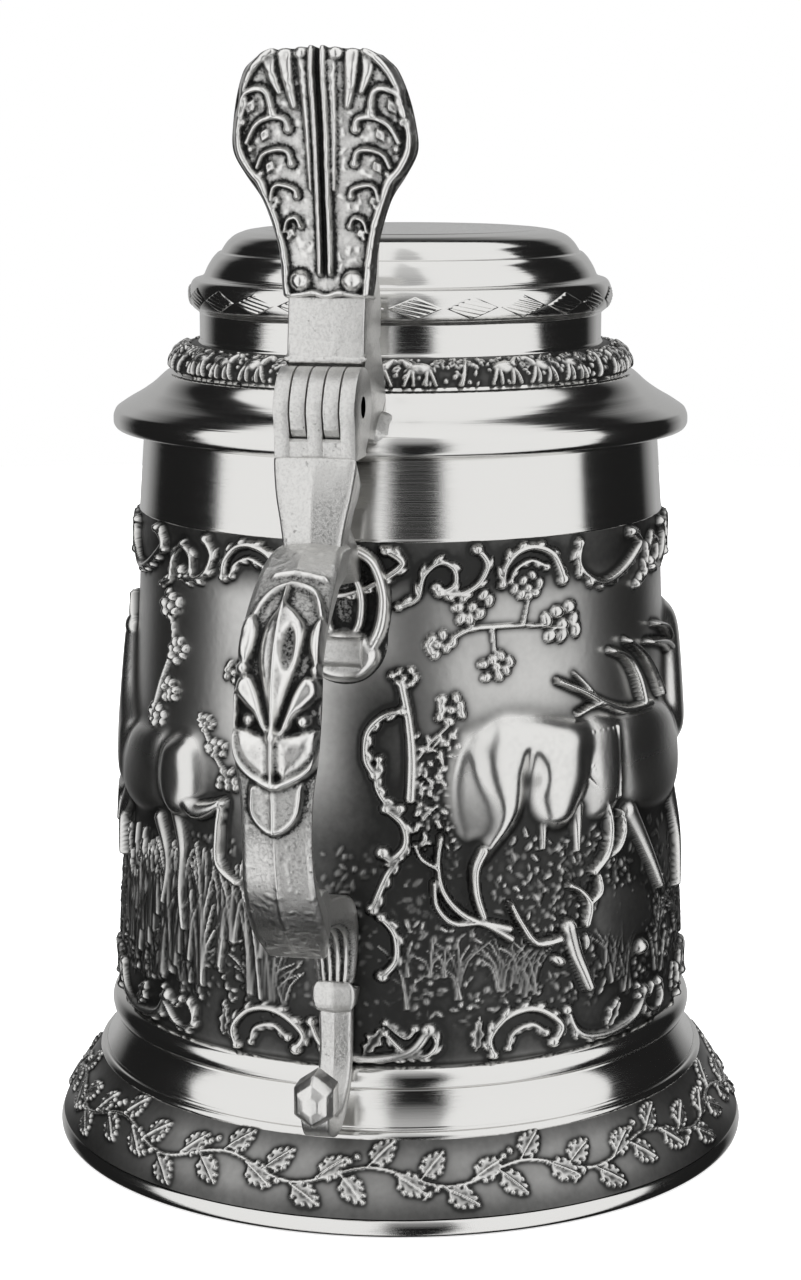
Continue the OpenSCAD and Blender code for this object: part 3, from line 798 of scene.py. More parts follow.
def stag_body(relief, u):
    """A stag seen from behind: barrel, flanks and both haunches."""

    def at(points):
        return [(u + a, b) for a, b in points]

    relief.mass(at([(46, 75), (52, 76.6), (60, 76), (68, 74), (73, 69), (72, 62), (66, 58.6), (58, 58.6),
                    (50, 60.6), (46.5, 66)]), 2.0, 4.5, -0.05)
    relief.mass(at([(16.6, 73), (19, 76), (24, 76.6), (25, 68), (24.4, 61), (18.6, 58.6), (16, 62),
                    (15.4, 68)]), 1.5, 3.0, -0.15)
    relief.mass(at([(38, 75.6), (43, 76.6), (47.8, 75.2), (48.8, 69), (47.6, 62.6), (44, 59.8), (39.6, 61),
                    (38, 68)]), 2.1, 4.4, 0.1)
    relief.mass(at([(19, 74), (24, 77.8), (29, 78), (35, 77), (40.6, 75.4), (41, 70), (34, 66), (28, 68),
                    (21, 69)]), 2.7, 4.0, 0.12)
    relief.mass(at([(20, 74.6), (23, 77.4), (27, 77.4), (29.9, 74.4), (29, 71), (28.6, 67), (27.8, 63),
                    (25.8, 60), (23.2, 57.4), (21.4, 55.2), (19.6, 55.6), (21, 58.5), (22.2, 61.5),
                    (21.8, 64.5), (20.6, 67.5), (19.8, 71)]), 3.0, 4.2, 0.3)
    relief.mass(at([(29.4, 74.4), (35, 76.6), (39.8, 75), (40.2, 68), (38.2, 63), (35.7, 60), (32.3, 60),
                    (29.8, 62.5), (28.8, 66), (29, 70)]), 3.3, 5.0, 0.3)
    relief.mass(at([(28.6, 73.6), (30.6, 73.8), (30.4, 70), (29.6, 65), (28.2, 63), (27.9, 67)]), 0.1, 1.2,
                -0.5)
    relief.blob(u + 29.3, 69.8, 1.3, 3.8, 1.5, 6, carve=True)


def stag_from_behind(relief, u):
    """The stag's hair, tail and legs."""

    def at(points):
        return [(u + a, b) for a, b in points]

    for k in range(6):
        relief.stroke(at([(41 + 1.15 * k, 74), (41.3 + 1.1 * k, 68), (41.6 + 1.0 * k, 63)]), 0.3, 0.2,
                      base=1.7)
    relief.stroke(at([(21.4, 57.6), (20.1, 54.8), (20.2, 51), (21.2, 47.4)]), (1.1, 0.75), 2.1)
    relief.stroke(at([(37.8, 62.6), (37.7, 60), (37.4, 56)]), (1.5, 0.6), 1.5)
    relief.stroke(at([(31.6, 60.8), (31.4, 57)]), (0.9, 0.5), 1.0)


def hind_body(relief, u, way):
    """A running hind's barrel, neck and haunch; way -1 turns it round."""

    def at(points):
        return [(u + way * a, b) for a, b in points]

    relief.mass(at([(-12, 66), (-8, 71), (-2, 72.2), (5, 71.8), (9, 66), (6.4, 60.4), (-2, 57.8),
                    (-10, 59.4)]), 2.4, 5.0, -0.1)
    relief.mass(at([(-9, 71), (-13.6, 75), (-17, 81), (-19.4, 86), (-23, 87), (-23, 82), (-21, 76),
                    (-18.4, 70), (-16, 64), (-12, 60), (-8, 61)]), 2.7, 4.0, 0.0)
    relief.mass(at([(6, 71), (10.4, 72.6), (14, 71.8), (15.5, 67.5), (15.4, 63.4), (12.6, 60), (9.2, 59.2),
                    (6.2, 62), (5.2, 66.5)]), 3.0, 3.6, 0.3)


def great_antlers(relief, u):
    """Antlers seen above a stag's back."""
    relief.stroke([(u + 35, 82.6), (u + 40, 80.4), (u + 45, 77.8), (u + 50.5, 76), (u + 58, 75.8)],
                  (0.5, 0.95), 1.8)
    relief.stroke([(u + 38.6, 77), (u + 42, 77.9), (u + 45, 77.8)], (0.4, 0.6), 1.5)
    relief.stroke([(u + 38.4, 83.4), (u + 40.6, 81.4), (u + 42.4, 79.6)], (0.3, 0.5), 1.3)
    relief.stroke([(u + 46.6, 86), (u + 50.6, 84.4), (u + 53.6, 81), (u + 55.4, 76.6)], (0.5, 0.9), 2.0)
    relief.stroke([(u + 51, 87), (u + 56, 84), (u + 60.6, 79.6), (u + 63, 76.6)], (0.5, 0.9), 2.1)
    relief.stroke([(u + 58.6, 85.6), (u + 66, 84.4), (u + 72.6, 82.4)], (0.5, 0.9), 2.1)
    relief.stroke([(u + 62, 88), (u + 68, 86.6), (u + 73, 84)], (0.4, 0.8), 2.0)


def stag_head_down(relief, u):
    """A second stag with its head lowered: the skull, ears and a wide rack of antlers."""
    relief.blob(u + 51.6, 37.4, 1.8, 1.5, 1.9)
    relief.stroke([(u + 35.4, 44), (u + 36.4, 40), (u + 37.9, 36.4), (u + 38.9, 33.9)], (1.5, 1.05), 2.2)
    relief.blob(u + 33.6, 38.9, 1.6, 1.0, 1.7, -35)
    relief.blob(u + 38.7, 40.9, 0.7, 1.6, 1.6, -10)
    for points, w in (
        ([(33.6, 42.4), (29.6, 42.4), (27.2, 45.6), (25.6, 48.8)], 0.75),
        ([(25.4, 43.6), (22, 45.9), (18, 48), (15.2, 51.6), (14.4, 56), (14.9, 60)], 0.72),
        ([(25.2, 45.2), (20.6, 46.6), (16.6, 46.7), (14.2, 49.4), (13.8, 53)], 0.7),
        ([(14.2, 55.4), (12, 56.8), (11, 59)], 0.5),
        ([(38.6, 44), (39.3, 47), (37.6, 49.4), (35.6, 50.6)], 0.75),
        ([(39.2, 47.2), (41.4, 48.6), (41.2, 51.2), (40.2, 52.2)], 0.7),
        ([(40.4, 52), (43.4, 54.6), (44.3, 59), (43, 63.6), (40.6, 66), (39.2, 67.4)], 0.75),
        ([(42.6, 53.6), (45.8, 54.8), (47.4, 57.6), (46.9, 60.4)], 0.65),
        ([(43.4, 63), (41.8, 65.6), (40.4, 69)], 0.5),
    ):
        relief.stroke([(u + a, b) for a, b in points], (w, w * 0.7), 1.5, base=0.5)


def leaping_hind(relief, u, way=1):
    """A hind running through reeds; way -1 turns it round."""

    def at(points):
        return [(u + way * a, b) for a, b in points]

    relief.stroke(at([(-20.4, 85), (-24, 84.6), (-28, 83)]), (2.4, 1.1), 2.3)
    relief.stroke(at([(-21, 87), (-22.6, 90.4)]), (0.9, 0.4), 1.7)
    relief.stroke(at([(-19.4, 87), (-19, 90.6)]), (0.9, 0.4), 1.7)
    relief.stroke(at([(12, 63.4), (14.6, 61.4), (17.6, 62), (20, 63.2)]), (2.4, 0.9), 2.4)
    relief.stroke(at([(20.1, 63.2), (19.6, 58.6), (20, 53.6), (23.4, 51.2)]), (0.85, 0.7), 1.9)
    relief.stroke(at([(9.6, 60), (11.6, 54.6), (11.6, 48), (12.6, 42)]), (1.5, 0.6), 1.4)
    relief.stroke(at([(4.6, 58), (8, 52), (7, 45)]), (1.4, 0.6), 1.3)
    relief.stroke(at([(-8, 60), (-12, 55), (-10, 49)]), (1.9, 0.7), 1.9)
    relief.stroke(at([(-11, 62), (-18, 58), (-20, 52)]), (1.8, 0.6), 1.9)


def grass(relief, u0, u1, v0, v1, count, rng, width=0.26, height=0.6, spread=0.9):
    """Tufts of curved blades that fan out from one root."""
    for _ in range(count // 5):
        u, v = u0 + (u1 - u0) * rng.random(), v0 + (v1 - v0) * 0.45 * rng.random()
        for _ in range(5):
            tall = (v1 - v) * (0.45 + 0.55 * rng.random())
            a = spread * (2 * rng.random() - 1)
            foot = u + 0.9 * (rng.random() - 0.5)
            relief.stroke([(foot, v), (foot + 0.25 * tall * math.sin(a), v + 0.55 * tall),
                           (foot + 0.8 * tall * math.sin(a), v + tall * (1 - 0.25 * abs(a)))],
                          (width * 1.6, width * 0.5), height * (0.5 + 0.6 * rng.random()), steps=3)


def undergrowth(relief, u0, u1, v0, v1, count, rng, height=0.6):
    """Scattered low leaves."""
    for _ in range(count):
        relief.blob(u0 + (u1 - u0) * rng.random(), v0 + (v1 - v0) * rng.random(), 0.4 + 0.7 * rng.random(),
                    0.3 + 0.4 * rng.random(), height * (0.5 + 0.8 * rng.random()), rng.random() * 180)


def bodies(relief, half):
    """The animals' large forms, run together before any detail is laid on them."""
    stag_body(relief, 0)
    relief.mass([(70, 74), (73, 82), (78, 88), (84, 88.6), (87, 83), (85.6, 76), (81, 70), (75, 66),
                 (70, 68)], 2.9, 5.0, 0.05)
    relief.mass([(40, 47), (46, 49.5), (54, 47), (57, 41), (52, 37.4), (46, 37), (41, 41)], 0.6, 4.5)
    hind_body(relief, -40.4, 1)
    hind_body(relief, half - 6, -1)
    relief.mass([(-72, 70), (-70, 80), (-66, 84), (-61, 80), (-60, 72), (-65, 68)], 2.3, 4.0)
    relief.h = relief.soften(relief.h, 0.75)
    relief.paint = relief.soften(relief.paint, 0.7)


def hunting_scenes(relief, settings):
    """Everything raised on the wall. u is the distance round it from the handle."""
    rng = np.random.default_rng(settings.seed)
    half = relief.span / 2
    relief.h += 0.12 * smooth_step((52 - relief.v) / 20)[:, None]
    bodies(relief, half)
    for u in (9, 56, 103, -38, -85, -132):
        border_upper(relief, u)
    for u in (8.6, 53, 98, -31, -76, -121):
        border_lower(relief, u)
    for u in (5.4, 95, -94):
        divider(relief, u)
    # right scene
    undergrowth(relief, 9, 93, 32, 47, 500, rng, 0.5)
    undergrowth(relief, 24, 50, 46, 60, 140, rng, 0.45)
    undergrowth(relief, 11, 18, 58, 76, 130, rng, 0.9)
    grass(relief, 8, 30, 33, 45, 90, rng)
    grass(relief, 40, 92, 31, 46, 120, rng)
    undergrowth(relief, -half, half, 30, 58, 2600, rng, 0.22)
    relief.stroke([(10.4, 66), (10.6, 72), (10.1, 78), (9, 83.6)], (1.0, 0.8), 1.3)
    twig(relief, [(10.6, 70.6), (13, 74), (16.4, 77)], [(16.8, 79.4, 3.0)], rng)
    twig(relief, [(17.2, 90.4), (20, 91.6), (25.4, 91.8), (31.4, 91.5), (36.4, 90.6)],
         [(20.4, 95, 3.4), (30, 97.4, 3.0), (14.8, 89.4, 2.9), (36.6, 91.2, 4.2), (24.4, 85.6, 3.0)], rng)
    twig(relief, [(20, 91.6), (21, 93.6)], [], rng)
    twig(relief, [(29, 91.8), (30, 95.6)], [], rng)
    twig(relief, [(23.6, 91.8), (24.2, 87)], [], rng)
    leaf_cluster(relief, 9.4, 84.4, 2.4, rng)
    relief.stroke([(50, 60), (54.6, 52.6), (58.4, 46)], (1.8, 0.8), 1.7)
    relief.stroke([(66, 60), (69, 52), (67, 44)], (1.8, 0.7), 1.7)
    stag_from_behind(relief, 0)
    great_antlers(relief, 0)
    stag_head_down(relief, 0)
    relief.stroke([(79, 84), (82, 80), (86, 76.5)], (3.4, 1.4), 2.6)
    # left scene
    grass(relief, -50, -9, 33, 57, 170, rng, 0.4, 0.95, 0.4)
    grass(relief, -50, -9, 31, 44, 160, rng)
    undergrowth(relief, -92, -9, 31, 42, 380, rng, 0.6)
    grass(relief, -92, -50, 32, 50, 120, rng)
    leaping_hind(relief, -40.4)
    twig(relief, [(-41, 74), (-38, 80), (-34.6, 86.4), (-36, 92.4)],
         [(-36, 92, 3.2), (-33.6, 85.4, 2.7), (-35, 78.6, 2.4), (-39.6, 74, 3)], rng)
    twig(relief, [(-26.6, 76), (-23.4, 71), (-19.4, 66)], [(-25, 75, 1.8), (-22.6, 71.4, 2.2),
                                                           (-20, 66.6, 2.4)], rng)
    leaf_cluster(relief, -19.4, 83.6, 2.4, rng)
    twig(relief, [(-84, 40), (-82, 60), (-80, 78), (-74, 92)],
         [(-74, 92, 4), (-80, 84, 4), (-86, 78, 4), (-78, 70, 3), (-70, 96, 3)], rng, 0.9)
    # far scene
    far = half - 94
    grass(relief, half - far, half + far, 31, 50, 240, rng, 0.4)
    undergrowth(relief, half - far, half + far, 31, 44, 300, rng, 0.6)
    leaping_hind(relief, half - 6, -1)
    relief.stroke([(half - 30, 40), (half - 29, 62), (half - 31, 84)], (1.6, 0.9), 1.5)
    twig(relief, [(half - 30, 70), (half - 24, 78), (half - 18, 84)],
         [(half - 18, 85, 4), (half - 26, 80, 3.4)], rng)
    twig(relief, [(half - 30.6, 80), (half - 36, 88), (half - 40, 90)],
         [(half - 40, 90, 4), (half - 33, 92, 4), (half - 26, 94, 4)], rng)
    twig(relief, [(half + 34, 50), (half + 33, 70), (half + 28, 88)],
         [(half + 28, 90, 4), (half + 35, 84, 4), (half + 27, 78, 3.4), (half + 38, 74, 3.4)], rng, 0.8)
    relief.h *= settings.relief_depth
    # the rims that the relief field runs into
    edge = np.minimum(relief.v - RELIEF_LOW, RELIEF_HIGH - relief.v)
    relief.h *= smooth_step(edge / 0.8)[:, None]
    relief.h = relief.soften(relief.h, 0.1)


# ---------------------------------------------------------------- operators


class TANKARD_OT_stage(bpy.types.Operator):
    """Floor, studio light and camera"""

    bl_idname = "tankard.stage"
    bl_label = "Stage"

    def execute(self, context):
        scene = context.scene
        scene.view_settings.view_transform = "Standard"
        self.studio()

        bpy.ops.mesh.primitive_circle_add(vertices=96, radius=0.9, fill_type="NGON")
        floor = context.object
        floor.name = "Floor"
        material = bpy.data.materials.new("Pale floor")
        material.use_nodes = True
        shader = material.node_tree.nodes["Principled BSDF"]
        shader.inputs["Base Color"].default_value = (0.9, 0.9, 0.9, 1)
        shader.inputs["Roughness"].default_value = 0.7
        shader.inputs["Emission Color"].default_value = (1, 1, 1, 1)
        seen = material.node_tree.nodes.new("ShaderNodeLightPath")
        lift = math_node(material.node_tree, "MULTIPLY", seen.outputs["Is Camera Ray"], 0.5)
        material.node_tree.links.new(lift, shader.inputs["Emission Strength"])
        floor.data.materials.append(material)
        floor.visible_glossy = False

        def around(angle, distance, height):
            a = CAMERA_AZIMUTH + math.radians(angle)
            return Vector((distance * math.cos(a), distance * math.sin(a), height))

        def panel(name, angle, distance, height, width, tall, strength, down=False):
            light = bpy.data.lights.new(name, "AREA")
            light.shape = "RECTANGLE"
            light.size, light.size_y = width, tall
            light.energy = strength * math.pi * width * tall
            obj = bpy.data.objects.new(name, light)
            scene.collection.objects.link(obj)
            obj.location = around(angle, distance, height)
            aim = Vector((0, 0, 0.08)) - obj.location
            if not down:
                aim.z = 0
            obj.rotation_euler = aim.to_track_quat("-Z", "Y").to_euler()
            obj.visible_camera = False
            obj.visible_glossy = False

        panel("Floor light", 0, 0.01, 1.6, 4.0, 4.0, 1.5, down=True)
        panel("Key", 52, 1.2, 0.7, 0.6, 0.6, 0.5)

        camera = bpy.data.cameras.new("Camera")
        camera.sensor_width = 36
        camera.lens = CAMERA_LENS
        camera.clip_start = 0.01
        obj = bpy.data.objects.new("Camera", camera)
        scene.collection.objects.link(obj)
        obj.location = around(0, CAMERA_DISTANCE, CAMERA_HEIGHT)
        level = math.cos(CAMERA_PITCH)
        look = Vector((-math.cos(CAMERA_AZIMUTH) * level, -math.sin(CAMERA_AZIMUTH) * level,
                       -math.sin(CAMERA_PITCH)))
        obj.rotation_euler = look.to_track_quat("-Z", "Y").to_euler()
        scene.camera = obj
        return {"FINISHED"}

    def studio(self):
        """Bright walls and a canopy, with a dark gap at the camera, dark sides and grey behind."""
        world = bpy.data.worlds.new("Studio")
        bpy.context.scene.world = world
        world.use_nodes = True
        tree = world.node_tree
        coords = tree.nodes.new("ShaderNodeTexCoord")
        turn = tree.nodes.new("ShaderNodeVectorRotate")
        turn.rotation_type = "Z_AXIS"
        turn.inputs["Angle"].default_value = -CAMERA_AZIMUTH
        tree.links.new(coords.outputs["Generated"], turn.inputs["Vector"])
        split = tree.nodes.new("ShaderNodeSeparateXYZ")
        tree.links.new(turn.outputs[0], split.inputs[0])
        x, y, z = split.outputs

        def times(a, b):
            return math_node(tree, "MULTIPLY", a, b)

        def plus(a, b):
            return math_node(tree, "ADD", a, b)

        def past(value, edge, soft):
            return math_node(tree, "DIVIDE", math_node(tree, "SUBTRACT", value, edge), soft, True)

        wall = past(plus(x, times(z, 0.22)), 0.06, 0.03)
        across = math_node(tree, "ABSOLUTE", y)
        canopy = times(past(plus(x, times(z, 0.6)), 0.0, 0.05),
                       past(math_node(tree, "SUBTRACT", times(z, 0.8), across), 0.0, 0.05))
        white = math_node(tree, "MAXIMUM", wall, canopy)
        gap = times(past(math_node(tree, "SUBTRACT", times(x, 0.325), y), -0.01, 0.03),
                    past(plus(y, times(x, 0.09)), -0.02, 0.04))
        fade = math_node(tree, "SUBTRACT", 1.0, times(z, 0.7), True)
        shade = math_node(tree, "SUBTRACT", 1.0, times(gap, fade))
        grey = times(past(times(x, -1.0), 0.68, 0.2), 0.46)
        level = math_node(tree, "MAXIMUM", times(times(white, shade), 1.02), grey)
        seen = tree.nodes.new("ShaderNodeLightPath")
        level = math_node(tree, "MAXIMUM", plus(level, 0.015), seen.outputs["Is Camera Ray"])
        tree.nodes["Background"].inputs["Color"].default_value = (1, 1, 1, 1)
        tree.links.new(level, tree.nodes["Background"].inputs["Strength"])


class TANKARD_OT_turned_body(bpy.types.Operator):
    """Foot, waist, plain band and cup wall"""

    bl_idname = "tankard.turned_body"
    bl_label = "Turned body"

    def execute(self, context):
        metal = finishes()["Turned pewter"]
        foot = turned("foot_shell", eased([(FOOT_R - 4.3, 5.8), (FOOT_R - 4.6, 0.35, 0.3),
                                           (FOOT_R - 3.8, 0.0, 0.3), (FOOT_R - 0.6, 0.0, 0.4),
                                           (FOOT_R + 0.3, 0.4, 0.5), (FOOT_R + 0.5, 1.5, 0.8),
                                           (FOOT_R + 0.1, 2.7, 0.6), (FOOT_R - 0.6, 3.05, 0.3),
                                           (FOOT_R - 1.2, 3.1, 0), (50.4, 13.2, 0), (47.5, 13.2, 0),
                                           (FOOT_R - 4.3, 5.8)], 0.3))
        place_piece(foot, "body", "turned_pewter", metal, "foot_skirt")
        bead = turned("foot_bead_ring", eased([
            (47.2, 13.0), (50.7, 13.0, 0.1), (50.95, 13.9, 0.35), (50.4, 14.45, 0.3), (50.0, 14.5, 0.15),
            (49.9, 14.9, 0.2), (47.2, 15.2), (47.2, 13.0)], 0.2))
        place_piece(bead, "body", "turned_pewter", metal, "foot_bead")
        t = np.linspace(0, 1, 14)
        cove = [(48.0 + 1.95 * (1 - k) ** 2.2 + 0.15 * k ** 3, 14.7 + 5.9 * k) for k in t]
        cove = turned("waist_band", [(46.4, 14.7)] + cove + [(46.4, 20.6)])
        place_piece(cove, "body", "turned_pewter", metal, "waist_cove")
        ring = turned("waist_bead", eased([
            (46.4, 20.4), (48.15, 20.45, 0.1), (48.45, 20.9, 0.3), (48.75, 22.2, 0.8), (48.3, 23.5, 0.6),
            (47.2, 24.15, 0.3), (46.4, 24.2), (46.4, 20.4)], 0.3, 6))
        place_piece(ring, "body", "turned_pewter", metal, "waist_ring")
        band = turned("lip_sleeve", eased([(41.2, 104.8), (42.75, 104.85, 0.1), (43.0, 105.15, 0.15),
                                           (42.85, 105.5, 0.1), (42.0, 117.2, 0.2), (41.8, 118.0, 0.2),
                                           (40.9, 118.1), (41.2, 104.8)], 0.2))
        place_piece(band, "body", "turned_pewter", metal, "lip_band")
        cup = turned("cup_lining", eased([(0, 6.0), (41.2, 6.0, 0.8), (44.4, 9.2, 2.0), (44.5, 24.2, 4),
                                          (44.3, 30, 3), (42.6, 62, 6), (40.6, 94, 6), (40.45, 105),
                                          (39.75, 117.6, 0.3), (40.1, 118.35, 0.3), (41.0, 118.35, 0.3),
                                          (41.1, 117.6, 0.2), (41.8, 105), (41.8, 90, 6), (43.6, 62, 6),
                                          (45.6, 30, 4), (46.5, 24), (46.6, 5.0, 0.4), (0, 4.7)][::-1],
                                         0.3), closed=False)
        place_piece(cup, "body", "turned_pewter", metal, "cup_wall")
        for name in ("base_plate", "hinge_pin"):
            obj = frame["nodes"][name]
            obj.data.materials.clear()
            obj.data.materials.append(metal)
        return {"FINISHED"}


class TANKARD_OT_relief_wall(bpy.types.Operator):
    """The barrel's wall with its hunting scenes and scroll borders"""

    bl_idname = "tankard.relief_wall"
    bl_label = "Relief wall"

    def execute(self, context):
        settings = context.scene.tankard
        round_it = 2 * math.pi * WALL_MEAN_R
        relief = Relief(-round_it / 2, round_it / 2, RELIEF_LOW, RELIEF_HIGH, settings.wall_cell / MM, True)
        hunting_scenes(relief, settings)
        v = relief.v
        sky = smooth_step((v - 58) / 15) * (1 - smooth_step((v - 95) / 6))
        # painted shade: the ground is darkened on the wall behind the handle, below its bracket, where the
        # handle overhangs it
        handle_shade = np.exp(-((relief.u - 5) / 8) ** 2)[None, :] * smooth_step((90 - v) / 10)[:, None]
        ground = (0.2 + 0.62 * sky)[:, None] * (1 - 0.7 * handle_shade)
        tone = relief.tone(0.5, 2.2, 1.1, ground, 0.42, 0.5)

        def place(u, v, h):
            r, a = wall_radius(v) + h, u / WALL_MEAN_R
            return np.stack([r * np.cos(a), r * np.sin(a), v], 2)

        nodes = ("relief_wall", "scroll_border_upper", "scroll_border_lower", "scroll_divider")
        for obj in wrapped_sheet("relief_wall_panel", relief, place, tone, 5):
            place_piece(obj, "body", "antiqued_pewter", finishes()["Antique pewter"], *nodes)
        return {"FINISHED"}


class TANKARD_OT_foot_frieze(bpy.types.Operator):
    """The oak-leaf garland on the foot's slope"""

    bl_idname = "tankard.foot_frieze"
    bl_label = "Foot frieze"

    def execute(self, context):
        rng = np.random.default_rng(context.scene.tankard.seed + 1)
        z = np.linspace(3.0, 13.75, 80)
        r = foot_radius(z)
        path = np.concatenate([[0], np.cumsum(np.hypot(np.diff(z), np.diff(r)))])
        width = path[-1]
        round_it = 2 * math.pi * FRIEZE_R
        relief = Relief(-round_it / 2, round_it / 2, 0, width, 0.2, True)
        waves = 14
        pitch = round_it / waves

        def stem(u):
            return width * 0.5 + 1.5 * math.sin(2 * math.pi * u / pitch)

        for k in range(waves):
            u0 = -round_it / 2 + k * pitch
            line = [(u0 + pitch * t, stem(u0 + pitch * t)) for t in np.linspace(0, 1, 13)]
            relief.stroke(line, 0.26, 0.5, steps=2)
            for j in range(6):
                u = u0 + pitch * (j + 0.3 + 0.2 * rng.random()) / 6
                side = 1 if j % 2 else -1
                base = (u, stem(u) + side * 0.3)
                turn = (28 + 24 * rng.random()) * side
                beaded_leaf(relief, base[0], base[1], turn, 5.4, 1.5, rng)
                if j % 3 == 0:
                    acorn(relief, base[0] + 1.2, base[1] - side * 2.2, rng)
        relief.h = relief.soften(relief.h, 0.1)
        middle = 1 - np.abs(relief.v / width * 2 - 1)
        ground = (0.22 + 0.3 * smooth_step(middle / 0.7))[:, None] * np.ones_like(relief.h)
        tone = relief.tone(0.4, 1.6, 1.5, ground, 0.8, 0.5)

        def place(u, v, h):
            zz, rr = np.interp(v, path, z), np.interp(v, path, r)
            dz, dr = np.gradient(z), np.gradient(r)
            nz, nr = np.interp(v, path, -dr), np.interp(v, path, dz)
            size = np.hypot(nz, nr)
            rr, zz, a = rr + h * nr / size, zz + h * nz / size, u / FRIEZE_R
            return np.stack([rr * np.cos(a), rr * np.sin(a), zz], 2)

        for obj in wrapped_sheet("foot_frieze_panel", relief, place, tone, 2):
            place_piece(obj, "body", "antiqued_pewter", finishes()["Antique pewter"], "foot_frieze")
        return {"FINISHED"}


def beaded_leaf(relief, u, v, turn, length, width, rng):
    """An oak leaf whose lobes are small beads along its edge."""
    c, s = math.cos(math.radians(turn)), math.sin(math.radians(turn))

    def at(x, y):
        return u + x * c - y * s, v + x * s + y * c

    relief.leaf(*at(length * 0.1, 0), turn, length * 0.9, width * 1.05, 0.5, 3)
    relief.stroke([at(0, 0), at(length * 0.5, 0.1), at(length * 0.92, 0)], (0.18, 0.24), 0.35, base=0.4)
    for k in range(4):
        x = length * (0.3 + 0.19 * k)
        y = width * (0.85, 1.0, 0.85, 0.5)[k]
        for side in (-1, 1):
            p = at(x, side * y)
            relief.blob(p[0], p[1], 0.5, 0.38, 0.6, turn)
    p = at(length, 0)
    relief.blob(p[0], p[1], 0.5, 0.42, 0.6, turn)


def acorn(relief, u, v, rng):
    """A pair of acorns on a short stalk."""
    for du, dv in ((0, 0), (1.2, 0.7)):
        relief.blob(u + du, v + dv, 0.62, 0.5, 0.7, rng.random() * 180)
    relief.stroke([(u - 0.8, v - 0.8), (u, v)], 0.2, 0.45)


class TANKARD_OT_lid(bpy.types.Operator):
    """The lid's turned shell, inside and out"""

    bl_idname = "tankard.lid"
    bl_label = "Lid"

    def execute(self, context):
        metal = finishes()["Turned pewter"]
        outer = [(43.2, 118.35), (45.4, 118.3, 0.3), (46.4, 118.3, 0.4), (BRIM_R, 119.0, 0.5),
                 (BRIM_R, 120.4, 0.5), (46.5, 121.3, 0.3), (46.1, 121.6, 0.2), (44.6, 122.6, 0.8),
                 (42.6, 123.7, 0.8), (40.4, 125.2, 1.0), (38.9, 126.6, 0.5), (38.3, 127.1, 0.2),
                 (37.7, 127.3, 0.15), (37.2, 127.9, 0.1), (36.6, 128.2, 0.1), (33.0, 131.6, 0),
                 (33.0, 132.1, 0.2), (NECK_R, 132.5, 0.2), (NECK_R, 136.8, 0.2), (33.0, 137.1, 0.15),
                 (33.4, 137.4, 0.1), (33.5, 141.6, 0.1), (33.2, 142.2, 0.1), (32.3, 142.5, 0.15),
                 (31.9, 142.8, 0.2), (31.3, 144.2, 0.8), (30.4, 145.6, 0.6), (29.6, 146.4, 0.15),
                 (29.1, 146.5, 0.1), (28.9, 146.9, 0.15), (28.2, 148.0, 0.7), (27.0, 149.1, 0.7),
                 (25.2, 149.8, 0.6), (23.2, 150.1, 0.3), (22.4, 150.05, 0.1), (22.0, 150.2, 0.15),
                 (0, 150.4)]
        inner = [(0, 148.7), (24, 148.4, 2), (28.4, 145.2, 2), (30.8, 141.6, 1), (30.8, 132.2, 0.6),
                 (32.2, 129.8, 0.6), (36, 125.2, 0.8), (39.4, 122.6, 0.6), (40.2, 119.4, 0.3),
                 (40.3, 118.7, 0.2), (42.3, 118.7, 0.2), (43.2, 118.35)]
        shell = turned("lid_dome", np.vstack([eased(outer, 0.3, 5), eased(inner, 0.3)]), closed=False)
        place_piece(shell, "lid", "turned_pewter", metal, "lid_shell")
        guide = turned("lid_guide_ring", eased([(37.4, 115.7), (38.5, 115.6, 0.2), (38.8, 116.1, 0.3),
                                                (38.8, 121.2, 0.3), (39.6, 122.6), (37.4, 122.4),
                                                (37.4, 115.7)], 0.2))
        place_piece(guide, "lid", "turned_pewter", metal, "lid_locating_ring")
        return {"FINISHED"}


def little_beast(relief, u, v, way):
    """A finger-nail-high running animal."""
    relief.blob(u, v + 0.2, 2.1, 1.15, 0.85, 5 * way)
    relief.stroke([(u + way * 1.5, v + 0.6), (u + way * 2.4, v + 1.6)], (0.75, 0.5), 0.8)
    relief.blob(u + way * 2.8, v + 1.6, 0.8, 0.5, 0.8, -20 * way)
    for k, lean in ((-1.5, -0.8), (-1.0, 0.2), (1.1, -0.1), (1.5, 0.9)):
        relief.stroke([(u + way * k, v - 0.4), (u + way * (k + lean), v - 2.3)], (0.45, 0.3), 0.65)


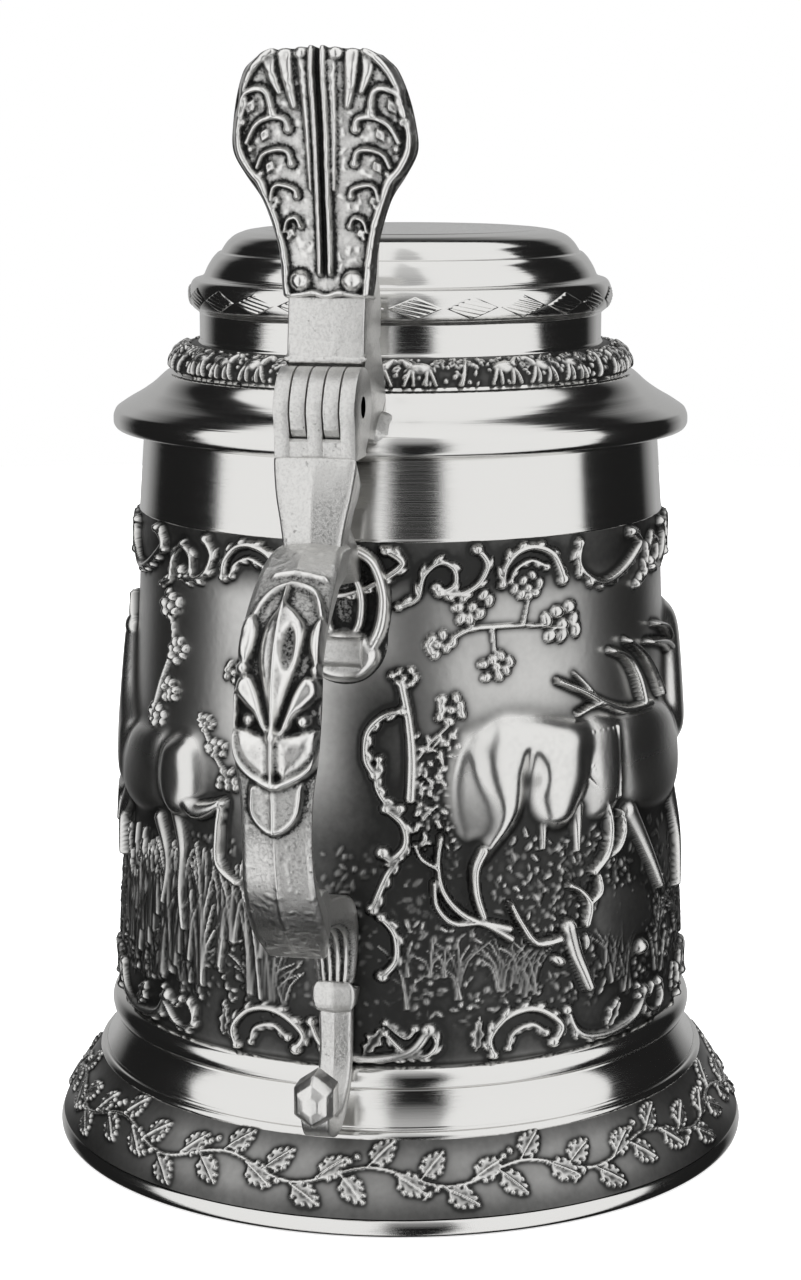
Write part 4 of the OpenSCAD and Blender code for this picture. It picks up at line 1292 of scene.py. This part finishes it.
class TANKARD_OT_lid_frieze(bpy.types.Operator):
    """The small hunting frieze round the lid"""

    bl_idname = "tankard.lid_frieze"
    bl_label = "Lid frieze"

    def execute(self, context):
        rng = np.random.default_rng(context.scene.tankard.seed + 2)
        arc = eased([(36.9, 127.6), (37.4, 127.9, 0.3), (37.4, 129.2, 1.0), (36.3, 130.7, 1.3),
                     (34.8, 131.6, 0.9), (32.9, 132.0)], 1.0, 12)
        path = path_length(arc)
        width = path[-1]
        round_it = 2 * math.pi * LID_FRIEZE_R
        relief = Relief(-round_it / 2, round_it / 2, 0, width, 0.17, True)
        count = 34
        for k in range(count):
            u = -round_it / 2 + (k + 0.5) * round_it / count
            way = 1 if k % 3 else -1
            if k % 4 < 3:
                little_beast(relief, u, width * 0.44, way)
            else:
                relief.stroke([(u - 0.6, 0.8), (u, 2.6), (u + 0.5, 4.6)], (0.5, 0.4), 0.6)
                leaf_cluster(relief, u + 0.4, 4.4, 1.5, rng, 0.5)
            for _ in range(16):
                relief.blob(u + (rng.random() - 0.5) * 7, 0.8 + rng.random() * (width - 1.8),
                            0.3 + 0.4 * rng.random(), 0.22 + 0.25 * rng.random(), 0.3 + 0.25 * rng.random(),
                            rng.random() * 180)
            for _ in range(7):
                relief.leaf(u + (rng.random() - 0.5) * 7, width * (0.4 + 0.35 * rng.random()),
                            rng.random() * 180, 1.6, 0.5, 0.45, 1)
        fade = smooth_step(np.minimum(relief.v - 0.5, width - 1.2 - relief.v) / 0.4)
        relief.h *= fade[:, None]
        relief.h = relief.soften(relief.h, 0.08)
        tone = relief.tone(0.3, 0.9, 2.0, 0.14, 1.3, 0.25)

        def place(u, v, h):
            rr, zz = np.interp(v, path, arc[:, 0]), np.interp(v, path, arc[:, 1])
            d = np.gradient(arc, axis=0)
            nr, nz = np.interp(v, path, d[:, 1]), np.interp(v, path, -d[:, 0])
            size = np.hypot(nr, nz)
            rr, zz, a = rr + h * nr / size, zz + h * nz / size, u / LID_FRIEZE_R
            return np.stack([rr * np.cos(a), rr * np.sin(a), zz], 2)

        for obj in wrapped_sheet("lid_frieze_panel", relief, place, tone, 1):
            place_piece(obj, "lid", "antiqued_pewter", finishes()["Antique pewter"], "lid_frieze_ring")
        return {"FINISHED"}


class TANKARD_OT_lozenge_ring(bpy.types.Operator):
    """The rounded ring with hatched lozenges"""

    bl_idname = "tankard.lozenge_ring"
    bl_label = "Lozenge ring"

    def execute(self, context):
        metal = finishes()["Turned pewter"]
        a = np.radians(np.linspace(-90, 90, 19))
        outline = [(33.0, 137.2)] + [(33.2 + 1.1 * math.cos(t), 139.8 + 2.4 * math.sin(t))
                                     for t in a] + [(33.0, 142.2)]
        ring = turned("lozenge_bead", outline)
        place_piece(ring, "lid", "turned_pewter", metal, "lid_lozenge_ring")
        lozenge = self.lozenge(context.scene.tankard.lozenges)
        place_piece(lozenge, "lid", "turned_pewter", metal, "lid_lozenge_ring")
        return {"FINISHED"}

    def lozenge(self, count):
        """One hatched lozenge, repeated round the ring by a node tree."""
        tile = Relief(-4.6, 4.6, -2.1, 2.1, 0.11)
        u, v = np.meshgrid(tile.u, tile.v)
        inside = 1 - (np.abs(u) / 4.45 + np.abs(v) / 1.85)
        flat = smooth_step(inside / 0.12) * 0.22
        hatch = 0.09 * np.cos(2 * math.pi * (v + 0.22 * u) / 0.62) * smooth_step((inside - 0.1) / 0.1)
        h = flat + hatch - 0.05
        turn = u / 34.3
        r = 33.2 + 1.1 * np.sqrt(np.clip(1 - ((v - 0.3) / 2.4) ** 2, 0, 1)) + h
        points = np.stack([r * np.cos(turn), r * np.sin(turn), 139.5 + v], 2).reshape(-1, 3)
        one = make_mesh("lozenge_tile", points, [grid_quads(u.shape, inside > -0.06)], np.ones(len(points)))
        drop_loose(one)
        return around_axis("lozenges", one, count, finishes()["Turned pewter"])


def around_axis(name, tile, count, material):
    """Repeats a tile about the body's axis with Geometry Nodes and bakes it to a plain mesh."""
    tree = bpy.data.node_groups.new(f"{name} around the axis", "GeometryNodeTree")
    tree.interface.new_socket(name="Geometry", in_out="OUTPUT", socket_type="NodeSocketGeometry")
    tile_in = tree.interface.new_socket(name="Tile", in_out="INPUT", socket_type="NodeSocketObject")
    count_in = tree.interface.new_socket(name="Count", in_out="INPUT", socket_type="NodeSocketInt")
    metal_in = tree.interface.new_socket(name="Metal", in_out="INPUT", socket_type="NodeSocketMaterial")
    gin, gout = tree.nodes.new("NodeGroupInput"), tree.nodes.new("NodeGroupOutput")
    points = tree.nodes.new("GeometryNodePoints")
    tree.links.new(gin.outputs["Count"], points.inputs["Count"])
    source = tree.nodes.new("GeometryNodeObjectInfo")
    tree.links.new(gin.outputs["Tile"], source.inputs["Object"])
    index = tree.nodes.new("GeometryNodeInputIndex")
    part = math_node(tree, "DIVIDE", math_node(tree, "MULTIPLY", index.outputs[0], 2 * math.pi),
                     gin.outputs["Count"])
    angle = tree.nodes.new("ShaderNodeCombineXYZ")
    tree.links.new(part, angle.inputs[2])
    turn = tree.nodes.new("FunctionNodeEulerToRotation")
    tree.links.new(angle.outputs[0], turn.inputs[0])
    spread = tree.nodes.new("GeometryNodeInstanceOnPoints")
    tree.links.new(points.outputs[0], spread.inputs["Points"])
    tree.links.new(source.outputs["Geometry"], spread.inputs["Instance"])
    tree.links.new(turn.outputs[0], spread.inputs["Rotation"])
    real = tree.nodes.new("GeometryNodeRealizeInstances")
    tree.links.new(spread.outputs[0], real.inputs[0])
    paint = tree.nodes.new("GeometryNodeSetMaterial")
    tree.links.new(real.outputs[0], paint.inputs["Geometry"])
    tree.links.new(gin.outputs["Metal"], paint.inputs["Material"])
    tree.links.new(paint.outputs[0], gout.inputs[0])

    holder = bpy.data.objects.new(name, bpy.data.meshes.new(name))
    bpy.context.scene.collection.objects.link(holder)
    modifier = holder.modifiers.new("Around", "NODES")
    modifier.node_group = tree
    modifier[tile_in.identifier] = tile
    modifier[count_in.identifier] = count
    modifier[metal_in.identifier] = material
    graph = bpy.context.evaluated_depsgraph_get()
    mesh = bpy.data.meshes.new_from_object(holder.evaluated_get(graph))
    holder.modifiers.remove(modifier)
    holder.data = mesh
    mesh.name = name
    bpy.data.objects.remove(tile)
    return holder


def rough_skin(relief, count, height, rng):
    """Small lumps and dents left by the mould, all over a relief."""
    lumps = Relief(relief.u[0], relief.u[-1], relief.v[0], relief.v[-1], relief.du)
    for _ in range(count):
        u = relief.u[0] + (relief.u[-1] - relief.u[0]) * rng.random()
        v = relief.v[0] + (relief.v[-1] - relief.v[0]) * rng.random()
        lumps.blob(u, v, 0.3 + 0.6 * rng.random(), 0.25 + 0.4 * rng.random(), height, rng.random() * 180)
    relief.h = relief.h + lumps.soften(lumps.h, 0.2)[:relief.h.shape[0], :relief.h.shape[1]] - height / 3


class TANKARD_OT_handle(bpy.types.Operator):
    """The cast handle with its leaf, brows, eyes and tongue"""

    bl_idname = "tankard.handle"
    bl_label = "Handle"

    def execute(self, context):
        metal = finishes()["Cast pewter"]
        shank = swept("handle_shank_cast", [(62.8, 120.6, 12, 8.4, 0.2), (63.8, 119.0, 11.9, 8.6, 0.7),
                                            (65.2, 115, 10.9, 8.4, 1.1), (65.9, 111, 9.4, 8.2, 1.1),
                                            (66.2, 108, 8.6, 8, 1.1), (66.2, 104.4, 8.4, 7, 1.0)], 6, 64,
                      back=0.9, edge=0.2, cap=0.3)
        place_piece(shank, "body", "cast_pewter", metal, "handle_shank")
        line = [(58.6, 107.6, 9, 5.4, 0.5), (63, 108.2, 9.4, 6.4, 0.6), (67.2, 108.3, 10, 7, 0.7),
                (71.4, 107.2, 10.8, 6.8, 0.8), (76.2, 104.8, 11.4, 6.4, 0.9), (81.6, 101.2, 11.8, 6.2, 1.2),
                (86.2, 95.8, 12.2, 6.0, 1.5), (88.3, 89, 12.6, 5.6, 1.6), (89.0, 82, 12, 5.4, 1.4),
                (89.0, 75.6, 10.4, 5, 1.2), (88.8, 68.6, 10, 4.8, 1.1), (87.6, 62.6, 10.4, 4.8, 1.0),
                (84.4, 57.4, 10.8, 5.2, 0.9), (80.2, 53.2, 10.9, 5.4, 0.6), (77.6, 51, 9.6, 5.2, 0.2),
                (75.6, 49.2, 8.8, 4.4, 0.1)]
        steps = 36
        p = spline(line, steps)
        length = path_length(p[:, :2])
        relief = Relief(0, length[-1] + 0.5, -6.5, 6.5, 0.16)

        def s_at(z):
            """Length along the outer face at height z, past the shoulder."""
            k = np.argmax(p[:, 0] > 70)
            return float(np.interp(-z, -p[k:, 1], length[k:]))

        self.mask(relief, s_at)
        relief.h = relief.soften(relief.h, 0.22)
        rough_skin(relief, 300, 0.08, np.random.default_rng(context.scene.tankard.seed + 3))
        # darkest about the mask, rubbed paler towards both ends
        face = smooth_step((relief.u - s_at(106.5)) / 5) * (1 - smooth_step((relief.u - s_at(74.5)) / 9))
        ground = (0.88 - 0.2 * face)[None, :] * np.ones_like(relief.h)
        tone = np.clip(relief.tone(0.4, 1.0, 1.1, ground, 0.25, 0.2), 0, 1)
        casting = swept("handle_casting", line, steps, 168, relief, tone, edge=0.5, cap=0.8)
        place_piece(casting, "body", "cast_pewter", metal, "handle_strap", "handle_leaf", "handle_brows",
                    "handle_eyes", "handle_chin_leaf", "handle_tongue_leaf")
        return {"FINISHED"}

    def mask(self, relief, s_at):
        """The beast's face in leaves. s runs down the handle, w across it."""

        def at(points):
            return [(s_at(z), w) for z, w in points]

        def both(points, side, push=0.0):
            """The same shape on either side; the right one lies a little further out."""
            return at([(z, side * w + (push if side > 0 else 0)) for z, w in points])

        # framed spoon leaf, its right half hollow
        relief.stroke(at([(105.2, -2.9), (105.3, 0.6), (105.1, 4.4)]), 0.45, 0.8)
        relief.stroke(at([(98, -5.4), (102.8, -3.3), (104, -0.4), (103.6, 3.4), (100, 5.6)]), 0.5, 0.8)
        relief.mass(at([(102.2, -0.2), (99.6, -2.2), (96, -2.7), (91, -1.8), (86, -0.4), (86, 0.6),
                        (91, 2.0), (96, 3.2), (99.6, 3.4)]), 1.5, 1.6)
        relief.blob(s_at(96.6), 1.5, 3.4, 1.0, 1.2, carve=True)
        for side, push in ((-1, 0), (1, 0.9)):
            relief.mass(both([(101, 4.3), (99, 3.2), (96.6, 3.3), (94.6, 4.4), (96, 6.2), (99.6, 6.2)],
                             side, push), 1.9, 1.4)
            relief.blob(s_at(94.0), 4.9 * side + push, 1.2, 1.2, 2.2)
            # brow: from the outer edge in and down to the nose
            relief.mass(both([(92.8, 5.4), (93.2, 3.6), (91.2, 2.2), (88.4, 1.2), (84.8, 0.1), (85.8, 1.6),
                              (87.8, 3.0), (89.4, 4.6), (91, 5.8)], side, push * 0.6), 2.3, 1.0)
            relief.stroke(both([(90.6, 5.9), (88.4, 5.8), (86, 5.9)], side, push), (0.7, 0.6), 1.5)
            # eye in its socket
            relief.blob(s_at(87.1), 3.6 * side + push * 0.5, 1.5, 1.55, 1.2, carve=True)
            relief.blob(s_at(87.1), 3.6 * side + push * 0.5, 1.05, 1.05, 1.8)
            # cheeks over a curved lip with a thick rim
            relief.mass(both([(85.9, 5.8), (86, 4.0), (85.4, 1.8), (85, -0.4), (80.6, -0.4), (78.8, 1.2),
                              (80.6, 4.2), (83, 5.8)], side, push * 0.6), 2.2, 2.2)
            relief.stroke(both([(84.6, 0.5), (83, 2.0), (82.8, 3.8), (84, 5.2)], side, push), 0.35, 0.0)
            relief.stroke(both([(85, 6), (82, 5.2), (79.8, 3.2), (78.3, 0)], side, push), (0.6, 0.8), 2.5)
        relief.stroke(at([(103.6, -0.3), (96, -0.2), (90, -0.1), (85.6, 0)]), (0.25, 0.4), 0.7, base=1.3)
        relief.blob(s_at(85), 0, 1.5, 1.2, 2.9)
        relief.stroke(at([(84, 0), (81, 0), (78.6, 0)]), (0.6, 0.35), 2.6)
        # tongue leaf
        relief.mass(at([(79, 0), (78, -3.2), (73.8, -3.1), (71.4, 0), (73.6, 3.1), (78.4, 3.8)]), 1.0, 1.0)
        relief.stroke(at([(77.6, -3.1), (73.8, -3.0), (71.4, 0), (73.6, 3.0), (78.2, 3.8)]), 0.4, 1.5)
        relief.stroke(at([(77.8, 0), (74, 0), (71.8, 0)]), 0.3, 0.45, base=0.9)
        # flash line left along the ridge
        relief.stroke(at([(70.4, 0), (64, 0.1), (58, 0), (51, 0.1)]), 0.16, 0.2)


class TANKARD_OT_brackets(bpy.types.Operator):
    """Upper bracket, lower strut with its collar, tail and knob"""

    bl_idname = "tankard.brackets"
    bl_label = "Brackets"

    def execute(self, context):
        metal = finishes()["Cast pewter"]
        self.wall_plate(metal)
        arm = swept("bracket_arm_cast", [(61.5, 107.2, 7.4, 5.4, 0.5), (56, 106.0, 5.8, 5, 0.6),
                                         (50.6, 102.6, 5.4, 5, 0.6), (45.0, 98.6, 5.8, 5, 0.6)], 8, 48,
                    back=0.9, edge=0.6, cap=0.4)
        place_piece(arm, "body", "cast_pewter", metal, "bracket_arm")
        roll = prism("bracket_roll", [(wall_radius(88) + 2.2 + 2.2 * math.cos(t), 88.6 + 2.4 * math.sin(t))
                                      for t in np.linspace(0, 2 * math.pi, 32, endpoint=False)], -3.4, 3.4,
                     0.9, 5)
        place_piece(roll, "body", "cast_pewter", metal, "bracket_scroll")
        curl = prism("handle_curl", [(75.4 + 4.5 * math.cos(t), 55.2 + 4.5 * math.sin(t))
                                     for t in np.linspace(0, 2 * math.pi, 40, endpoint=False)], -4.1, 4.1,
                     0.5)
        place_piece(curl, "body", "cast_pewter", metal, "handle_end_scroll")
        leaf_line = [(76.4, 53.2, 7.4, 4.6, 0.6), (68, 51.4, 7, 4.6, 0.8), (60, 49.6, 7.4, 5, 0.9),
                     (54.4, 46.8, 7.6, 5.2, 0.9), (52.0, 42.4, 6.8, 4.6, 0.8), (51.6, 37.6, 5.4, 4.2, 0.5)]
        relief = Relief(0, 42, -4, 4, 0.2)
        for w in (-2.2, -0.8, 0.8, 2.2):
            relief.stroke([(8, w * 1.1), (24, w), (38, w * 0.5)], (0.5, 0.3), 0.5)
        leaf = swept("strut_leaf_cast", leaf_line, 14, 64, relief, relief.tone(0.4, 1.2, 1.2, 0.75),
                     edge=0.5)
        place_piece(leaf, "body", "cast_pewter", metal, "strut_leaf")
        collar = swept("strut_collar_cast", [
            (51.8, 39.4, 5.4, 4.6, 0.3), (52.7, 38.2, 6.8, 5.6, 0.4), (52.9, 36.4, 7.2, 5.9, 0.5),
            (52.6, 34.6, 6.6, 5.4, 0.4), (51.8, 33.4, 5.2, 4.4, 0.3)], 6, 48, edge=1.0, cap=0.8)
        place_piece(collar, "body", "cast_pewter", metal, "strut_collar")
        bar = swept("strut_bar_cast", [(51.8, 34.4, 5.4, 4, 0.8), (51.8, 29.6, 5.2, 3.9, 0.9),
                                       (52.1, 25.8, 5.2, 3.7, 0.8), (53.9, 22.6, 5.2, 3.6, 0.5),
                                       (57.8, 20.4, 5.2, 3.4, 0.3), (61.4, 21.2, 5, 3.4, 0.2),
                                       (63.0, 23.4, 4.6, 3.2, 0.2)], 10, 48, edge=0.6)
        place_piece(bar, "body", "cast_pewter", metal, "strut_bar", "tail_scroll")
        self.knob(metal)
        return {"FINISHED"}

    def wall_plate(self, metal):
        """A shield-shaped plate that follows the wall, ribbed lengthways."""
        relief = Relief(-8, 8, 82, 105.2, 0.22)
        u, v = np.meshgrid(relief.u, relief.v)
        mid = np.clip(v, 90.2, 97.2)
        inside = 7.4 - np.hypot(u, v - mid)
        relief.h = smooth_step(inside / 0.8) * 0.5
        for side in (-1, 1):
            relief.stroke([(1.6 * side, 104.2), (4.6 * side, 102.2), (6.2 * side, 97.6), (5.8 * side, 92.4),
                           (3.6 * side, 88)], (1.0, 1.3), 2.9, base=0.2)
            relief.stroke([(0.9 * side, 101.4), (2.7 * side, 97.6), (2.6 * side, 93), (1.2 * side, 90.4)],
                          (0.8, 0.9), 2.0, base=0.2)
        relief.mass([(-4.6, 91), (0, 92.2), (4.6, 91), (6, 87.6), (3.6, 84.4), (0, 83.6), (-3.6, 84.4),
                     (-6, 87.6)], 3.4, 2.2)
        relief.blob(1.0, 88.4, 1.5, 1.3, 2.4, carve=True)
        relief.h = relief.soften(relief.h, 0.15)
        tone = np.clip(relief.tone(0.5, 1.5, 1.3, 0.3, 0.5, 0.3), 0, 1)
        r, a = wall_radius(v) + relief.h - 0.3, u / WALL_MEAN_R
        points = np.stack([r * np.cos(a), r * np.sin(a), v], 2).reshape(-1, 3)
        plate = make_mesh("bracket_plate_cast", points, [grid_quads(u.shape, inside > -0.4)], tone.ravel())
        drop_loose(plate)
        place_piece(plate, "body", "cast_pewter", metal, "bracket_plate")

    def knob(self, metal):
        """The faceted six-sided knob at the tail's end."""
        bm = bmesh.new()
        rings = [(60.8, 2.6), (62.2, 3.5), (65.8, 3.5), (67.4, 2.6), (68.1, 1.2)]
        loops = []
        for x, r in rings:
            loops.append([bm.verts.new((x * MM, r * math.sin(t) * MM, (24.4 + r * 1.22 * math.cos(t)) * MM))
                          for t in np.arange(6) * math.pi / 3])
        for a, b in zip(loops[:-1], loops[1:]):
            for i in range(6):
                bm.faces.new((a[i], a[(i + 1) % 6], b[(i + 1) % 6], b[i]))
        bm.faces.new(loops[0][::-1])
        bm.faces.new(loops[-1])
        bmesh.ops.recalc_face_normals(bm, faces=bm.faces)
        bmesh.ops.bevel(bm, geom=bm.edges[:], offset=0.22 * MM, segments=3, profile=0.5, affect="EDGES",
                        clamp_overlap=True)
        mesh = bpy.data.meshes.new("tail_knob")
        bm.to_mesh(mesh)
        bm.free()
        obj = bpy.data.objects.new("tail_knob", mesh)
        bpy.context.scene.collection.objects.link(obj)
        finish_edges(obj, 0.95)
        place_piece(obj, "body", "cast_pewter", metal, "tail_boss")


class TANKARD_OT_hinge(bpy.types.Operator):
    """Knuckles on both sides, the lid's tang and lug"""

    bl_idname = "tankard.hinge"
    bl_label = "Hinge"

    def execute(self, context):
        metal = finishes()["Cast pewter"]
        gap, length, r = 0.2, 12.0, 5.8
        w = (length - 4 * gap) / 5
        x0, z0 = HINGE.x, HINGE.z
        top = [(x0 + r * math.cos(t), z0 + r * math.sin(t)) for t in np.radians(np.linspace(24, 180, 30))]
        front = [(x0 + r + 0.1, z0 + 1.2), (x0 + r + 0.35, z0 - 0.5), (x0 + r - 0.3, z0 - 2.8)]
        fixed, moving = [], []
        for i in range(5):
            y = -length / 2 + i * (w + gap)
            if i % 2 == 0:
                outline = top + [(x0 - r, z0 - 1.5), (x0 - r * 0.72, z0 - 4.4), (x0 - 1.2, z0 - 7.2),
                                 (x0 + r - 0.6, z0 - 7.2), (x0 + r - 0.5, z0 - 5.4)] + front[::-1]
                fixed.append(prism(f"fixed_{i}", outline, y, y + w, 0.14, 2))
            else:
                outline = top[:-8] + [(x0 - 6.2, z0 + 5.0), (x0 - 8.6, z0 + 4.8), (x0 - 8.6, z0 - 4.2),
                                      (x0 - 3.6, z0 - 5.0), (x0, z0 - 6.0), (x0 + 2.6, z0 - 5.5),
                                      (x0 + 4.5, z0 - 4.2)]
                moving.append(prism(f"moving_{i}", outline + front[::-1], y, y + w, 0.14, 2))
        seat = [(x0 + 6.4 * math.cos(t), z0 + 6.4 * math.sin(t))
                for t in np.radians(np.linspace(-110, -41, 16))]
        fixed.append(prism("knuckle_seat", seat + [(x0 + 5.2, z0 - 4.6), (x0 + 5.1, z0 - 7.3),
                                                   (x0 - 2.2, z0 - 7.3)], -5.9, 5.9, 0))
        place_piece(join("handle_knuckle_set", fixed), "body", "cast_pewter", metal, "handle_knuckles")
        place_piece(join("lid_knuckle_pair", moving), "lid", "cast_pewter", metal, "lid_knuckles")
        ring = [(x0 + 6.25 * math.cos(t), z0 + 6.25 * math.sin(t))
                for t in np.radians(np.linspace(100, 236, 14))]
        tang = prism("lid_tang_cast", ring + [(50.6, 121.5), (47.4, 120.9), (46.6, 121.4), (44.7, 122.3),
                                              (41.4, 124.3), (38.4, 126.4), (40.4, 131), (43.4, 136),
                                              (44, 139), (54.6, 139)], -5.5, 5.5, 0.35)
        place_piece(tang, "lid", "cast_pewter", metal, "lid_tang")
        lug = prism("lug_block_cast", [(55.5, 133.5), (55.7, 134.3), (55.2, 138), (54.5, 142.6), (45, 146),
                                       (43.0, 141), (43.4, 136), (50.4, 133.5)], -5.7, 5.7, 0.3)
        lip = swept("lug_lip_cast", [(54.4, 134.7, 12, 3.4, 0.1), (56.0, 134.2, 12.1, 4, 0.1),
                                     (56.2, 133.3, 12, 4, 0.1), (55.4, 132.95, 11.8, 3.6, 0.1)], 5, 48,
                    edge=0.3, cap=0.3)
        place_piece(join("lug_block_cast", [lug, lip]), "lid", "cast_pewter", metal, "lug_block")
        self.solder(metal)
        return {"FINISHED"}

    def solder(self, metal):
        """Solder run out from the tang over the brim."""
        pieces = []
        for side in (-1, 1):
            relief = Relief(0, 6, 0, 9, 0.2)
            u, v = np.meshgrid(relief.u, relief.v)
            reach = 3.2 + 0.4 * np.sin(v * 0.9 + 0.6)
            h = 1.4 * np.clip(1 - u / reach, 0, 1) ** 1.7
            h = h * smooth_step(v / 1.5) * smooth_step((9 - v) / 3.5) - 0.25
            r = np.interp(v, [0, 2.4, 4, 6.2, 9], [46.8, 46.0, 44.6, 42.6, 40.4])
            z = np.interp(v, [0, 2.4, 4, 6.2, 9], [119.6, 121.6, 122.6, 123.7, 125.2])
            x = np.sqrt(np.clip(r ** 2 - (5.2 + u) ** 2, 1, None)) + h * 0.5
            points = np.stack([x, side * (5.2 + u), z + h], 2).reshape(-1, 3)
            quads = grid_quads(u.shape)
            if side > 0:
                quads = quads[:, ::-1]
            pieces.append(make_mesh(f"solder_{side}", points, [quads], np.full(len(points), 0.8)))
        place_piece(join("solder_run", pieces), "lid", "cast_pewter", metal, "solder_fillet")


class TANKARD_OT_thumb_lift(bpy.types.Operator):
    """The leaf-shaped thumb lift"""

    bl_idname = "tankard.thumb_lift"
    bl_label = "Thumb lift"

    def execute(self, context):
        metal = finishes()["Cast pewter"]
        line = [
            (58.9, 178.0, 15, 2.2, 0.2), (59.2, 177.0, 18.2, 2.6, 0.3), (59.3, 175.5, 21, 2.8, 0.4),
            (58.9, 173.6, 23.2, 3.2, 0.5), (58.0, 170.3, 25.4, 3.6, 0.6), (57.2, 166.8, 26.8, 4, 0.6),
            (56.7, 163.9, 27.3, 4.6, 0.6), (56.5, 161.8, 26.0, 5, 0.6), (56.2, 159.6, 23.4, 5.6, 0.6),
            (55.9, 157.4, 20.4, 6.2, 0.6), (55.5, 155.2, 18.2, 7, 0.6), (55.1, 152.2, 16.2, 8, 0.6),
            (54.7, 148.8, 14.6, 9, 0.6), (54.7, 145.2, 14.0, 9.6, 0.6), (55.0, 142.0, 13.2, 9.6, 0.5)]
        steps = 18
        p = spline(line, steps)
        length = path_length(p[:, :2])
        relief = Relief(0, length[-1] + 0.5, -14, 14, 0.15)
        self.chase(relief, lambda z: float(np.interp(-z, -p[:, 1], length)))
        rough_skin(relief, 380, 0.22, np.random.default_rng(context.scene.tankard.seed + 4))
        relief.h = relief.soften(relief.h, 0.1)
        tone = np.clip(relief.tone(0.35, 0.9, 1.5, 0.94, 0.1, 0.5), 0, 1)
        lift = swept("thumb_lift_cast", line, steps, 260, relief, tone, back=0.8, edge=1.0, cap=1.0)
        place_piece(lift, "lid", "cast_pewter", metal, "thumb_plate", "thumb_rib", "thumb_volutes",
                    "thumb_beads", "thumb_bosses")
        return {"FINISHED"}

    def chase(self, relief, s_at):
        """Ribs, flutes, side scrolls, beads and bosses, placed by height and distance from the middle."""

        def at(points, side=1):
            return [(s_at(z), side * w) for z, w in points]

        for w in (-0.95, 0.75):
            relief.stroke(at([(178, w), (170, w), (158, w * 0.9), (146, w * 0.9)]), (0.6, 0.45), 1.5)
            relief.stroke(at([(176, w * 2.3), (168, w * 2.2), (158, w * 2.0)]), (0.9, 0.3), 0.7)
        relief.stroke(at([(178, -0.1), (160, -0.1), (146, 0)]), 0.35, 0.0)
        scrolls = (
            [(168.3, 11.4), (171.2, 10.6), (172.3, 8.6), (171.6, 7.2), (168.9, 6.7)],
            [(164.6, 10.4), (167.2, 9.0), (168.3, 6.9), (168.0, 5.0), (166.6, 4.6)],
            [(161.1, 9.1), (162.9, 8.2), (163.7, 6.4), (163.4, 4.8), (161.7, 4.3)],
            [(156.4, 7.4), (158.2, 7.0), (158.7, 5.9), (158.1, 4.0), (157.1, 3.7)],
            [(151.9, 5.7), (153.6, 5.2), (154.0, 4.0), (152.8, 3.4)])
        scrolls = [[(z, w * 1.07) for z, w in line] for line in scrolls]
        for side in (-1, 1):
            # wavy raised border down to the apron
            relief.stroke(at([(177.4, 6.8), (175.6, 9.4), (172.6, 11.2), (170, 11.5), (167, 12.6),
                              (163.8, 12.6), (161, 11.3), (159, 9.5), (156.4, 8.6), (152.4, 7.2),
                              (147, 6.3), (143, 6.0)], side), (0.8, 0.8), 1.1)
            relief.stroke(at([(177, 4.9), (173, 4.5), (169.8, 3.9)], side), (1.2, 0.5), 0.8)
            relief.stroke(at([(176.8, 7.2), (174.4, 7.0), (171.8, 6.0)], side), (1.1, 0.5), 0.7)
            for k, line in enumerate(scrolls):
                size = 1 - 0.1 * k
                relief.stroke(at(line, side), (0.42 * size, 0.62 * size), 1.35, steps=7)
                relief.blob(s_at(line[-1][0]), line[-1][1] * side, 0.9 * size, 0.85 * size, 1.45)
                relief.blob(s_at(line[0][0] - 0.9), (line[0][1] - 0.5) * side, 0.7 * size, 0.6 * size, 0.9)
                relief.leaf(s_at(line[2][0] - 1.6), (line[2][1] + 0.6) * side, 25 * side, 2.6 * size, 0.6,
                            0.7, 1)
            relief.blob(s_at(144.9), 3.9 * side, 1.65, 1.65, 2.1)
            relief.blob(s_at(177.2), 2.4 * side, 1.1, 1.3, 1.1)
        relief.stroke(at([(142.6, -5.4), (143.2, -2), (142.6, 0), (143.2, 2), (142.6, 5.4)]), 0.45, 0.8)


class TANKARD_PT_pieces(bpy.types.Panel):
    """Lists the tankard's pieces"""

    bl_label = "Tankard"
    bl_idname = "TANKARD_PT_pieces"
    bl_space_type = "VIEW_3D"
    bl_region_type = "UI"
    bl_category = "Tankard"

    def draw(self, context):
        settings = context.scene.tankard
        for key in ("relief_depth", "wall_cell", "turned_segments", "lozenges", "bright", "patina", "seed"):
            self.layout.prop(settings, key)
        for operator in PIECES:
            self.layout.operator(operator.bl_idname)


PIECES = (TANKARD_OT_stage, TANKARD_OT_turned_body, TANKARD_OT_relief_wall, TANKARD_OT_foot_frieze,
          TANKARD_OT_lid, TANKARD_OT_lid_frieze, TANKARD_OT_lozenge_ring, TANKARD_OT_handle,
          TANKARD_OT_brackets, TANKARD_OT_hinge, TANKARD_OT_thumb_lift)


def register():
    for cls in (TankardSettings, *PIECES, TANKARD_PT_pieces):
        bpy.utils.register_class(cls)
    bpy.types.Scene.tankard = bpy.props.PointerProperty(type=TankardSettings)


def unregister():
    del bpy.types.Scene.tankard
    for cls in reversed((TankardSettings, *PIECES, TANKARD_PT_pieces)):
        bpy.utils.unregister_class(cls)


def main():
    register()
    for operator in PIECES:
        group, name = operator.bl_idname.split(".")
        getattr(getattr(bpy.ops, group), name)()


if __name__ == "__main__":
    main()
